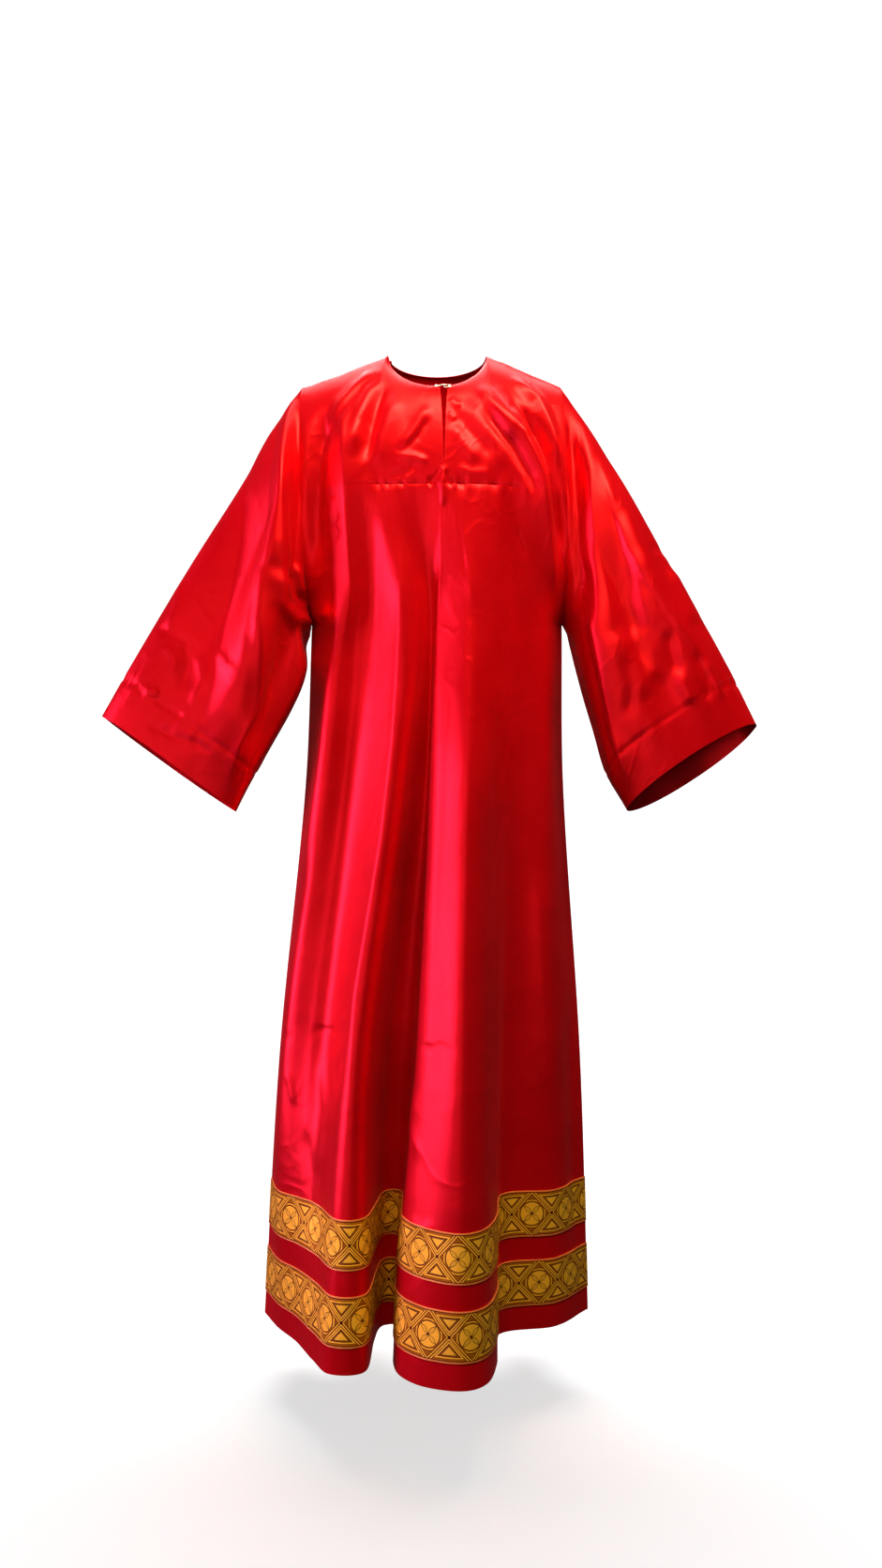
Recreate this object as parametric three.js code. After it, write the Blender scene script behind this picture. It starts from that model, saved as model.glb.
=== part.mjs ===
// A sticharion: the long flared tunic of a deacon or altar server, hollow and as worn.
// Millimetres, +Z up. It faces -Y, and +X is the wearer's left.
// The origin lies midway between the two points where the shoulder seams meet the neck.
// "Depth" in the tables is the distance in front of the shoulder line, so y = -depth.
import * as THREE from 'three';

// ---------------------------------------------------------------- driving sizes
const CLOTH_WALL = 1.6;
const CUFF_WALL = 2.6;               // the turned hem doubles the cloth
const SEAM_GAP = 0.3;
const UNDERARM_EASE = 1.2;
const UNDERARM_EASE_TURN = 70;       // degrees round the sleeve each way
const LEAST_MITRE = 0.6;             // limits how far a sharp corner's mitre reaches
const GARMENT_LENGTH = 1378;
const HEM_Z = -GARMENT_LENGTH;

const SHOULDER_HALF_WIDTH = 184;
const SHOULDER_DROP = 44;
const ARMHOLE_BOTTOM_Z = -385;
const ARMHOLE_FRONT_DEPTH = 62;
const ARMHOLE_BACK_DEPTH = 58;
const ARMHOLE_BOW = 4;
const UNDERARM_POINT = 1.4;          // 1 would make the lower half of the armhole an ellipse

const NECK_CENTRE_X = 8.5;
const NECK_HALF_WIDTH = 69.5;
const NECK_FRONT_DEPTH = 70;
const NECK_FRONT_DROP = 63;
const NECK_BACK_DEPTH = 50;
const NECK_BACK_DROP = 12;
const NECK_FALL_POWER = 1.6;         // how steeply the cloth falls away below the neckline

const CHEST_Z = -(SHOULDER_DROP - ARMHOLE_BOTTOM_Z) / 2;
const CHEST_SEAM_ARCH = 10;          // the chest seam rises this much at its middle
const CHEST_FRONT_DEPTH = 100;
const CHEST_BACK_DEPTH = 86;
const CHEST_ROUNDNESS = 0.7;         // 1 would make the chest's plan a parabola

const SLIT_X = 18;
const SLIT_WIDTH_TOP = 10;
const SLIT_WIDTH_FOOT = 2;

const GALLOON_WIDTH = 64;
const GALLOON_THICKNESS = 1;
const GALLOON_SPACING = 33;          // red between the two rows of galloon
const HEM_TO_GALLOON = 34;           // red below the lower row

// ---------------------------------------------------------------- grid counts
const SHOULDER_CELLS = 11;
const FRONT_NECK_CELLS = 18;
const BACK_NECK_CELLS = 8;
const SLIT_COLUMN = 21;              // the front column whose upper cells are left out
const FRONT_COLUMNS = 2 * SHOULDER_CELLS + FRONT_NECK_CELLS;
const BACK_COLUMNS = 2 * SHOULDER_CELLS + BACK_NECK_CELLS;
const YOKE_ROWS = 7;
const SLIT_ROWS = 6;
const UNDERARM_ROWS = 5;
const SKIRT_ROWS = 10;
const SLEEVE_RINGS = 14;

// ---------------------------------------------------------------- folds of the body
// One row a fold line, from the wearer's right to the left: its share of the panel's width,
// then [x, depth] where it passes the armpit, waist, knee and hem.
const STATION_Z = { hem: HEM_Z, knee: -1000, waist: -614, armpit: ARMHOLE_BOTTOM_Z };
const STATIONS = Object.keys(STATION_Z);
const STATION_HEIGHTS = Object.values(STATION_Z);
const SIDE_RIGHT = { armpit: [-172, 0], waist: [-181, 0], knee: [-219, -4], hem: [-241, -8] };
const SIDE_LEFT = { armpit: [188, 0], waist: [190, 0], knee: [215, -8], hem: [228, -20] };
const FRONT_FOLDS = [
  { name: 'right side seam', share: 0, ...SIDE_RIGHT },
  { name: 'outer ridge', share: 0.1,
    armpit: [-133, 74], waist: [-152, 74], knee: [-206, 54], hem: [-214, 46] },
  { name: 'outer hollow', share: 0.17,
    armpit: [-102, 74], waist: [-120, 76], knee: [-170, 72], hem: [-184, 88] },
  { name: 'crest foot', share: 0.225,
    armpit: [-77, 79], waist: [-100, 81], knee: [-141, 88], hem: [-156, 142] },
  { name: 'right crest', share: 0.275,
    armpit: [-42, 107], waist: [-58, 126], knee: [-112, 148], hem: [-130, 182] },
  { name: 'crest turn', share: 0.33,
    armpit: [-24, 103], waist: [-38, 120], knee: [-86, 146], hem: [-84, 174] },
  { name: 'hidden wall', share: 0.385,
    armpit: [-12, 89], waist: [-24, 94], knee: [-64, 98], hem: [-75, 90] },
  { name: 'middle valley', share: 0.435,
    armpit: [-2, 79], waist: [-9, 74], knee: [-44, 62], hem: [-62, 42] },
  { name: 'valley turn', share: 0.48,
    armpit: [6, 82], waist: [0, 82], knee: [-27, 72], hem: [-47, 50] },
  { name: 'middle edge', share: 0.535,
    armpit: [13, 95], waist: [6, 134], knee: [-14, 152], hem: [-54, 150] },
  { name: 'middle slope', share: 0.59,
    armpit: [30, 108], waist: [23, 153], knee: [6, 182], hem: [-20, 208] },
  { name: 'middle crest', share: 0.64,
    armpit: [54, 117], waist: [50, 166], knee: [38, 205], hem: [36, 228] },
  { name: 'middle flank', share: 0.7,
    armpit: [76, 108], waist: [74, 144], knee: [68, 188], hem: [72, 208] },
  { name: 'left edge', share: 0.76,
    armpit: [98, 95], waist: [94, 106], knee: [88, 140], hem: [88, 150] },
  { name: 'left valley', share: 0.82,
    armpit: [130, 74], waist: [116, 78], knee: [104, 62], hem: [94, 66] },
  { name: 'left panel', share: 0.9,
    armpit: [163, 50], waist: [162, 56], knee: [170, 50], hem: [174, 40] },
  { name: 'left side seam', share: 1, ...SIDE_LEFT },
];
const BACK_FOLDS = [
  { name: 'right side seam', share: 0, ...SIDE_RIGHT },
  { name: 'right ridge', share: 0.12,
    armpit: [-138, -62], waist: [-156, -70], knee: [-196, -92], hem: [-216, -104] },
  { name: 'right valley', share: 0.24,
    armpit: [-96, -70], waist: [-106, -70], knee: [-130, -74], hem: [-146, -72] },
  { name: 'right crest', share: 0.35,
    armpit: [-58, -84], waist: [-66, -106], knee: [-88, -146], hem: [-98, -176] },
  { name: 'middle valley', share: 0.45,
    armpit: [-20, -82], waist: [-20, -84], knee: [-28, -84], hem: [-36, -78] },
  { name: 'middle crest', share: 0.56,
    armpit: [20, -86], waist: [24, -110], knee: [28, -158], hem: [28, -192] },
  { name: 'left valley', share: 0.67,
    armpit: [58, -80], waist: [66, -80], knee: [78, -78], hem: [84, -70] },
  { name: 'left crest', share: 0.78,
    armpit: [104, -72], waist: [114, -92], knee: [136, -128], hem: [144, -152] },
  { name: 'left hollow', share: 0.89,
    armpit: [154, -46], waist: [162, -52], knee: [184, -60], hem: [194, -62] },
  { name: 'left side seam', share: 1, ...SIDE_LEFT },
];

// ---------------------------------------------------------------- sleeves
// One row a section, from the armhole to the cuff: the outer and inner points [x, z] as seen
// from the front, the depth of its middle, its half thickness, and how far its front lies
// above its back.
const SLEEVE_RIGHT_SECTIONS = [
  { along: 0.0, outer: [-184, -44], inner: [-172, -385], depth: 2, half: 60, lift: 0 },
  { along: 0.1, outer: [-214, -92], inner: [-182, -404], depth: 8, half: 62, lift: 0 },
  { along: 0.35, outer: [-264, -184], inner: [-178, -450], depth: 20, half: 60, lift: 0 },
  { along: 0.65, outer: [-342, -312], inner: [-201, -516], depth: 32, half: 52, lift: 2 },
  { along: 0.86, outer: [-412, -434], inner: [-246, -598], depth: 44, half: 42, lift: 5 },
  { along: 1.0, outer: [-460, -520], inner: [-273, -653], depth: 50, half: 34, lift: 8 },
];
const SLEEVE_LEFT_SECTIONS = [
  { along: 0.0, outer: [184, -44], inner: [188, -385], depth: 2, half: 60, lift: 0 },
  { along: 0.1, outer: [216, -95], inner: [200, -406], depth: 8, half: 62, lift: 0 },
  { along: 0.35, outer: [270, -189], inner: [211, -456], depth: 26, half: 58, lift: 4 },
  { along: 0.65, outer: [344, -325], inner: [231, -534], depth: 42, half: 50, lift: 10 },
  { along: 0.86, outer: [412, -450], inner: [250, -604], depth: 54, half: 44, lift: 18 },
  { along: 1.0, outer: [452, -536], inner: [273, -648], depth: 60, half: 40, lift: 23 },
];
// The folds fade out over the sleeve's head, and a fold's foot is wider than its half width.
const SLEEVE_HEAD = 0.125;
const FOLD_FOOT = 1.6;
// One row a fold: the turn round the sleeve from its top over the front, in degrees; how far
// along it starts, is deepest and ends; its half width in degrees, and its height or depth.
const SLEEVE_RIGHT_FOLDS = [
  { turn: 72, from: 0.1, peak: 0.55, to: 1.1, half: 22, rise: -7 },
  { turn: 106, from: 0.05, peak: 0.5, to: 1.1, half: 20, rise: 12 },
  { turn: 134, from: 0.1, peak: 0.5, to: 1.05, half: 18, rise: -12 },
  { turn: 160, from: -0.1, peak: 0.3, to: 0.75, half: 20, rise: 9 },
  { turn: 250, from: 0.1, peak: 0.6, to: 1.1, half: 28, rise: -11 },
  { turn: 300, from: 0.1, peak: 0.5, to: 1.1, half: 24, rise: 7 },
];
const SLEEVE_LEFT_FOLDS = [
  { turn: 62, from: 0.05, peak: 0.5, to: 1.1, half: 18, rise: 8 },
  { turn: 88, from: 0.1, peak: 0.5, to: 1.1, half: 18, rise: -11 },
  { turn: 114, from: 0.1, peak: 0.55, to: 1.1, half: 18, rise: 9 },
  { turn: 240, from: 0.1, peak: 0.6, to: 1.1, half: 28, rise: -11 },
  { turn: 292, from: 0.1, peak: 0.5, to: 1.1, half: 24, rise: 7 },
];

// ---------------------------------------------------------------- curves
const RADIANS = Math.PI / 180;
const mix = (a, b, t) => a + (b - a) * t;
const arch = (share) => 1 - (2 * share - 1) ** 2;
const bump = (t) => Math.max(0, 1 - t * t) ** 2;

/** A smooth curve through values at increasing knots (cubic pieces with finite-difference slopes). */
function smoothThrough(knots, values, t) {
  const last = knots.length - 1;
  let i = 0;
  while (i < last - 1 && t > knots[i + 1]) i += 1;
  const slope = (k) => {
    const a = Math.max(0, k - 1);
    const b = Math.min(last, k + 1);
    return (values[b] - values[a]) / (knots[b] - knots[a]);
  };
  const width = knots[i + 1] - knots[i];
  const s = (t - knots[i]) / width;
  const s2 = s * s;
  const s3 = s2 * s;
  return (2 * s3 - 3 * s2 + 1) * values[i] + (s3 - 2 * s2 + s) * width * slope(i)
    + (3 * s2 - 2 * s3) * values[i + 1] + (s3 - s2) * width * slope(i + 1);
}

/** The armhole is a tall oval: 0 degrees at the shoulder, 90 at the chest seam, 180 underarm. */
function armholePoint(side, degrees, facing) {
  const sine = Math.sin(degrees * RADIANS);
  const cosine = Math.cos(degrees * RADIANS);
  const bottomX = side < 0 ? SIDE_RIGHT.armpit[0] : SIDE_LEFT.armpit[0];
  const x = mix(side * SHOULDER_HALF_WIDTH, bottomX, (1 - cosine) / 2) + side * ARMHOLE_BOW * sine;
  const z = CHEST_Z + (-SHOULDER_DROP - CHEST_Z) * cosine;
  const swing = degrees > 90 ? sine ** UNDERARM_POINT : sine;
  const depth = facing > 0 ? ARMHOLE_FRONT_DEPTH * swing : -ARMHOLE_BACK_DEPTH * swing;
  return new THREE.Vector3(x, -depth, z);
}

/** The body at the chest seam's level: facing is 1 for the front and -1 for the back. */
function chestPoint(share, facing) {
  const right = armholePoint(-1, 90, facing);
  const left = armholePoint(1, 90, facing);
  const edge = facing > 0 ? ARMHOLE_FRONT_DEPTH : ARMHOLE_BACK_DEPTH;
  const middle = facing > 0 ? CHEST_FRONT_DEPTH : CHEST_BACK_DEPTH;
  const depth = mix(edge, middle, arch(share) ** CHEST_ROUNDNESS) * facing;
  return new THREE.Vector3(mix(right.x, left.x, share), -depth, right.z + CHEST_SEAM_ARCH * arch(share));
}

/** Where one fold line passes a height below the chest: [x, depth]. */
function foldLineAt(line, facing, z, underarmDegrees) {
  const isSide = line.share === 0 || line.share === 1;
  if (isSide && underarmDegrees !== null) {
    const edge = armholePoint(line.share === 0 ? -1 : 1, underarmDegrees, facing);
    return [edge.x, -edge.y];
  }
  const chest = chestPoint(line.share, facing);
  return [chest.x, -chest.y].map((atChest, k) => {
    const values = STATIONS.map((station) => line[station][k]);
    if (isSide) return smoothThrough(STATION_HEIGHTS, values, z);
    return smoothThrough([...STATION_HEIGHTS, CHEST_Z], [...values, atChest], z);
  });
}

/** The body below the chest: the fold lines joined across by one smooth curve. */
function skirtPoint(folds, facing, share, z, underarmDegrees) {
  const shares = folds.map((line) => line.share);
  const places = folds.map((line) => foldLineAt(line, facing, z, underarmDegrees));
  const x = smoothThrough(shares, places.map((place) => place[0]), share);
  const depth = smoothThrough(shares, places.map((place) => place[1]), share);
  return new THREE.Vector3(x, -depth, z);
}

/** The top edge of a panel: a shoulder seam, the neckline and the other shoulder seam. */
function topEdgePoint(column, columns, facing) {
  const neckRight = NECK_CENTRE_X - NECK_HALF_WIDTH;
  const neckLeft = NECK_CENTRE_X + NECK_HALF_WIDTH;
  const fromLeft = columns - column;
  if (column <= SHOULDER_CELLS || fromLeft <= SHOULDER_CELLS) {
    const t = Math.min(column, fromLeft) / SHOULDER_CELLS;
    const start = column <= SHOULDER_CELLS ? -SHOULDER_HALF_WIDTH : SHOULDER_HALF_WIDTH;
    const end = column <= SHOULDER_CELLS ? neckRight : neckLeft;
    return new THREE.Vector3(mix(start, end, t), 0, -SHOULDER_DROP * (1 - t));
  }
  const turn = neckTurn(column, facing);
  const sine = Math.sin(turn);
  const x = NECK_CENTRE_X - NECK_HALF_WIDTH * Math.cos(turn);
  if (facing > 0) return new THREE.Vector3(x, -NECK_FRONT_DEPTH * sine, -NECK_FRONT_DROP * sine);
  return new THREE.Vector3(x, NECK_BACK_DEPTH * sine, -NECK_BACK_DROP * sine);
}

/** How far round the neck a column stands, from 0 at the right shoulder seam to pi at the left. */
function neckTurn(column, facing) {
  if (facing < 0) return Math.PI * (column - SHOULDER_CELLS) / BACK_NECK_CELLS;
  const slitEdge = (side) => (
    Math.acos((NECK_CENTRE_X - SLIT_X - side * SLIT_WIDTH_TOP / 2) / NECK_HALF_WIDTH));
  if (column <= SLIT_COLUMN) {
    return slitEdge(-1) * (column - SHOULDER_CELLS) / (SLIT_COLUMN - SHOULDER_CELLS);
  }
  const end = SHOULDER_CELLS + FRONT_NECK_CELLS;
  return mix(slitEdge(1), Math.PI, (column - SLIT_COLUMN - 1) / (end - SLIT_COLUMN - 1));
}

/** Above the chest a panel curves over the shoulder as the quarter of an ellipse. */
function upperPoint(column, columns, facing, degrees) {
  const share = column / columns;
  const top = topEdgePoint(column, columns, facing);
  const chest = chestPoint(share, facing);
  const sine = Math.sin(degrees * RADIANS);
  const cosine = Math.cos(degrees * RADIANS);
  if (column === 0) return armholePoint(-1, degrees, facing);
  if (column === columns) return armholePoint(1, degrees, facing);
  const x = mix(top.x, chest.x, (1 - cosine + sine) / 2);
  const atNeck = column > SHOULDER_CELLS && columns - column > SHOULDER_CELLS;
  const neckShare = atNeck ? Math.sin(neckTurn(column, facing)) : 0;
  const fall = mix(1 - cosine, (degrees / 90) ** NECK_FALL_POWER, neckShare);
  return new THREE.Vector3(x, mix(top.y, chest.y, sine), mix(top.z, chest.z, fall));
}

// ---------------------------------------------------------------- thin walls from grids
/** Turns rows of points into vertices that know the normals of the faces round them. */
function makeGrid(points, { wraps = false, outward }) {
  const rows = points.length;
  const columns = points[0].length;
  const at = (r, c) => points[Math.min(Math.max(r, 0), rows - 1)][
    wraps ? (c + columns) % columns : Math.min(Math.max(c, 0), columns - 1)];
  return points.map((row, r) => row.map((point, c) => {
    const faces = [];
    for (const down of [-1, 1]) {
      for (const along of [-1, 1]) {
        const stepDown = new THREE.Vector3().subVectors(at(r + down, c), point).multiplyScalar(down);
        const stepAlong = new THREE.Vector3().subVectors(at(r, c + along), point).multiplyScalar(along);
        const normal = new THREE.Vector3().crossVectors(stepAlong, stepDown);
        if (normal.lengthSq() > 0) faces.push(normal.normalize().multiplyScalar(outward));
      }
    }
    return { point: point.clone(), seat: point.clone(), faces, normal: null };
  }));
}

/** Vertices of different panels at one place share one normal, so that seams close as mitres. */
function shareNormals(grids) {
  const places = new Map();
  for (const grid of grids) {
    for (const vertex of grid.flat()) {
      const key = vertex.point.toArray().map((value) => Math.round(value * 100)).join();
      if (!places.has(key)) places.set(key, []);
      places.get(key).push(vertex);
    }
  }
  for (const vertices of places.values()) {
    const faces = vertices.flatMap((vertex) => vertex.faces);
    const normal = faces.reduce((sum, face) => sum.add(face), new THREE.Vector3()).normalize();
    const lean = faces.reduce((sum, face) => sum + face.dot(normal), 0) / faces.length;
    normal.divideScalar(Math.max(lean, LEAST_MITRE));
    vertices.forEach((vertex) => {
      vertex.normal = normal;
    });
  }
}

/** Draws one edge of a grid back from its seam by half the gap. */
function drawBack(edge, inner, wraps) {
  const count = edge.length;
  const at = (i) => edge[wraps ? (i + count) % count : Math.min(Math.max(i, 0), count - 1)].point;
  edge.forEach((vertex, i) => {
    const along = new THREE.Vector3().subVectors(at(i + 1), at(i - 1));
    const inwards = new THREE.Vector3().crossVectors(along, vertex.normal).normalize();
    const towards = new THREE.Vector3().subVectors(inner[i].point, vertex.point);
    if (inwards.dot(towards) < 0) inwards.negate();
    vertex.seat.addScaledVector(inwards, SEAM_GAP / 2);
  });
}

const gridEdges = {
  top: (grid) => [grid[0], grid[1]],
  bottom: (grid) => [grid[grid.length - 1], grid[grid.length - 2]],
  right: (grid) => [grid.map((row) => row[0]), grid.map((row) => row[1])],
  left: (grid) => [grid.map((row) => row[row.length - 1]), grid.map((row) => row[row.length - 2])],
};

/** A closed wall on a grid: from `lift` above its points to `lift - thickness`. */
function wallMesh(name, grid, material, { wraps = false, lift = 0, thickness, present = () => true }) {
  const positions = [];
  const place = (vertex, height) => {
    const point = vertex.seat.clone().addScaledVector(vertex.normal, height);
    positions.push(point.x, point.y, point.z);
    return positions.length / 3 - 1;
  };
  const outer = grid.map((row) => row.map((vertex) => place(vertex, lift)));
  const inner = grid.map((row, r) => row.map((vertex) => place(vertex, lift - thickness(r))));
  const rows = grid.length - 1;
  const columns = wraps ? grid[0].length : grid[0].length - 1;
  const inside = (r, c) => r >= 0 && r < rows && (wraps || (c >= 0 && c < columns)) && present(r, c);
  const faces = [];
  const quad = (a, b, c, d) => faces.push(a, b, c, a, c, d);
  const backQuad = (a, b, c, d) => faces.push(a, c, b, a, d, c);
  for (let r = 0; r < rows; r += 1) {
    for (let c = 0; c < columns; c += 1) {
      if (!inside(r, c)) continue;
      const next = wraps ? (c + 1) % columns : c + 1;
      quad(outer[r][c], outer[r][next], outer[r + 1][next], outer[r + 1][c]);
      backQuad(inner[r][c], inner[r][next], inner[r + 1][next], inner[r + 1][c]);
      if (!inside(r - 1, c)) quad(outer[r][next], outer[r][c], inner[r][c], inner[r][next]);
      if (!inside(r + 1, c)) quad(outer[r + 1][c], outer[r + 1][next], inner[r + 1][next], inner[r + 1][c]);
      if (!inside(r, c - 1)) quad(outer[r][c], outer[r + 1][c], inner[r + 1][c], inner[r][c]);
      if (!inside(r, c + 1)) quad(outer[r + 1][next], outer[r][next], inner[r][next], inner[r + 1][next]);
    }
  }
  return solidMesh(name, positions, faces, material);
}

/** A mesh whose faces point outwards, whichever way round they were listed. */
function solidMesh(name, positions, faces, material) {
  let volume = 0;
  for (let i = 0; i < faces.length; i += 3) {
    const [a, b, c] = [0, 1, 2].map((k) => new THREE.Vector3().fromArray(positions, faces[i + k] * 3));
    volume += a.dot(b.cross(c));
  }
  const geometry = new THREE.BufferGeometry();
  geometry.setAttribute('position', new THREE.Float32BufferAttribute(positions, 3));
  geometry.setIndex(volume < 0 ? faces.slice().reverse() : faces);
  geometry.computeVertexNormals();
  const mesh = new THREE.Mesh(geometry, material);
  mesh.name = name;
  return mesh;
}

// ---------------------------------------------------------------- the body's grids
const steps = (count) => Array.from({ length: count + 1 }, (_, i) => i);
const galloonLevels = [
  HEM_TO_GALLOON, HEM_TO_GALLOON + GALLOON_WIDTH / 2, HEM_TO_GALLOON + GALLOON_WIDTH,
  HEM_TO_GALLOON + GALLOON_WIDTH + GALLOON_SPACING,
  HEM_TO_GALLOON + GALLOON_WIDTH * 1.5 + GALLOON_SPACING,
  HEM_TO_GALLOON + GALLOON_WIDTH * 2 + GALLOON_SPACING,
];
const galloonTop = HEM_Z + galloonLevels[galloonLevels.length - 1];
const underarmRows = steps(UNDERARM_ROWS).map((row) => {
  const degrees = 90 + 90 * row / UNDERARM_ROWS;
  return { degrees, z: CHEST_Z + (-SHOULDER_DROP - CHEST_Z) * Math.cos(degrees * RADIANS) };
});
const skirtRows = steps(SKIRT_ROWS).slice(1).map((row) => (
  { degrees: null, z: mix(ARMHOLE_BOTTOM_Z, galloonTop, row / SKIRT_ROWS) }));
const galloonRows = [...galloonLevels].reverse().slice(1).concat(0).map((up) => (
  { degrees: null, z: HEM_Z + up }));
const bodyRows = [...underarmRows, ...skirtRows, ...galloonRows];
const yokeDegrees = steps(YOKE_ROWS).map((row) => 90 * row / YOKE_ROWS);

/** Rows from the chest seam to the hem. */
function lowerRows(folds, columns, facing) {
  return bodyRows.map((row, index) => steps(columns).map((column) => {
    const share = column / columns;
    if (index === 0) return chestPoint(share, facing);
    const point = skirtPoint(folds, facing, share, row.z, row.degrees);
    if (row.degrees !== null) point.z += CHEST_SEAM_ARCH * arch(share) * (1 - index / UNDERARM_ROWS);
    return point;
  }));
}

/** The yoke's rows; the two columns beside the slit close up towards its foot. */
function yokeRows() {
  return yokeDegrees.map((degrees, row) => steps(FRONT_COLUMNS).map((column) => {
    const point = upperPoint(column, FRONT_COLUMNS, 1, degrees);
    if (row <= SLIT_ROWS && (column === SLIT_COLUMN || column === SLIT_COLUMN + 1)) {
      const side = column === SLIT_COLUMN ? -1 : 1;
      point.x = SLIT_X + side * mix(SLIT_WIDTH_TOP, SLIT_WIDTH_FOOT, row / SLIT_ROWS) / 2;
    }
    return point;
  }));
}

function backRows() {
  const upper = yokeDegrees.slice(0, -1).map((degrees) => (
    steps(BACK_COLUMNS).map((column) => upperPoint(column, BACK_COLUMNS, -1, degrees))));
  return [...upper, ...lowerRows(BACK_FOLDS, BACK_COLUMNS, -1)];
}

// ---------------------------------------------------------------- the sleeves' grids
/** The turn round a sleeve of each of its points: over the front to the underarm, and back. */
function sleeveTurns() {
  const down = [...yokeDegrees, ...underarmRows.slice(1).map((row) => row.degrees)];
  const up = down.slice(1, -1).reverse().map((degrees) => 360 - degrees);
  return [...down, ...up];
}

function sleevePoint(sections, folds, along, turn) {
  const knots = sections.map((section) => section.along);
  const value = (pick) => smoothThrough(knots, sections.map(pick), along);
  const outer = [value((s) => s.outer[0]), value((s) => s.outer[1])];
  const inner = [value((s) => s.inner[0]), value((s) => s.inner[1])];
  const inwards = (1 - Math.cos(turn * RADIANS)) / 2;
  const forward = Math.sin(turn * RADIANS);
  const point = new THREE.Vector3(
    mix(outer[0], inner[0], inwards),
    -(value((s) => s.depth) + value((s) => s.half) * forward),
    mix(outer[1], inner[1], inwards) + value((s) => s.lift) * forward,
  );
  const away = new THREE.Vector3(outer[0] - inner[0], 0, outer[1] - inner[1]).normalize();
  away.multiplyScalar(Math.cos(turn * RADIANS));
  away.y = -forward;
  for (const fold of folds) {
    const span = along < fold.peak ? fold.peak - fold.from : fold.to - fold.peak;
    const across = bump((turn - fold.turn) / (fold.half * FOLD_FOOT));
    const size = fold.rise * across * bump((along - fold.peak) / span);
    point.addScaledVector(away, size * Math.min(1, along / SLEEVE_HEAD));
  }
  return point;
}

function sleeveRows(side, sections, folds) {
  const turns = sleeveTurns();
  return steps(SLEEVE_RINGS).map((ring) => turns.map((turn) => {
    if (ring === 0) return armholePoint(side, turn > 180 ? 360 - turn : turn, turn > 180 ? -1 : 1);
    return sleevePoint(sections, folds, ring / SLEEVE_RINGS, turn);
  }));
}

// ---------------------------------------------------------------- materials
const satin = () => new THREE.MeshStandardMaterial({ color: 0xc4001a, roughness: 0.42, metalness: 0 });
const galloon = () => new THREE.MeshStandardMaterial({ color: 0xc9932f, roughness: 0.4, metalness: 0.6 });
const giltWire = () => new THREE.MeshStandardMaterial({ color: 0xe2c98a, roughness: 0.3, metalness: 1 });

// ---------------------------------------------------------------- assembly
const sticharion = new THREE.Group();
const yokeGrid = makeGrid(yokeRows(), { outward: -1 });
const frontGrid = makeGrid(lowerRows(FRONT_FOLDS, FRONT_COLUMNS, 1), { outward: -1 });
const backGrid = makeGrid(backRows(), { outward: 1 });
const sleeveRightRows = sleeveRows(-1, SLEEVE_RIGHT_SECTIONS, SLEEVE_RIGHT_FOLDS);
const sleeveLeftRows = sleeveRows(1, SLEEVE_LEFT_SECTIONS, SLEEVE_LEFT_FOLDS);
const sleeveRightGrid = makeGrid(sleeveRightRows, { wraps: true, outward: -1 });
const sleeveLeftGrid = makeGrid(sleeveLeftRows, { wraps: true, outward: 1 });
shareNormals([yokeGrid, frontGrid, backGrid, sleeveRightGrid, sleeveLeftGrid]);

const sewnEdges = [
  [yokeGrid, ['top', 'bottom', 'right', 'left']],
  [frontGrid, ['top', 'right', 'left']],
  [backGrid, ['top', 'right', 'left']],
];
for (const [grid, names] of sewnEdges) {
  for (const name of names) drawBack(...gridEdges[name](grid), false);
}
// Under the arm the sleeve folds back on the body, so it stands a little further off there.
for (const [side, grid] of [[-1, sleeveRightGrid], [1, sleeveLeftGrid]]) {
  drawBack(grid[0], grid[1], true);
  sleeveTurns().forEach((turn, i) => {
    grid[0][i].seat.x += side * UNDERARM_EASE * bump((turn - 180) / UNDERARM_EASE_TURN);
  });
}

const clothWall = () => CLOTH_WALL;
const sleeveWall = (ring) => (ring >= SLEEVE_RINGS - 1 ? CUFF_WALL : CLOTH_WALL);
const outsideSlit = (row, column) => column !== SLIT_COLUMN || row >= SLIT_ROWS;
sticharion.add(wallMesh('front_yoke', yokeGrid, satin(), { thickness: clothWall, present: outsideSlit }));
sticharion.add(wallMesh('front', frontGrid, satin(), { thickness: clothWall }));
sticharion.add(wallMesh('back', backGrid, satin(), { thickness: clothWall }));
sticharion.add(wallMesh('sleeve_right', sleeveRightGrid, satin(), { wraps: true, thickness: sleeveWall }));
sticharion.add(wallMesh('sleeve_left', sleeveLeftGrid, satin(), { wraps: true, thickness: sleeveWall }));

// Each row of galloon is made from the panel's own points, moved out.
const galloonStrips = [
  { name: 'band_upper', rowsFromHem: 6 },
  { name: 'band_lower', rowsFromHem: 3 },
];
for (const strip of galloonStrips) {
  for (const [panel, grid] of [['front', frontGrid], ['back', backGrid]]) {
    const first = grid.length - 1 - strip.rowsFromHem;
    const rows = grid.slice(first, first + 3);
    const options = { lift: SEAM_GAP + GALLOON_THICKNESS, thickness: () => GALLOON_THICKNESS };
    sticharion.add(wallMesh(`${strip.name}_${panel}`, rows, galloon(), options));
  }
}

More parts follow.
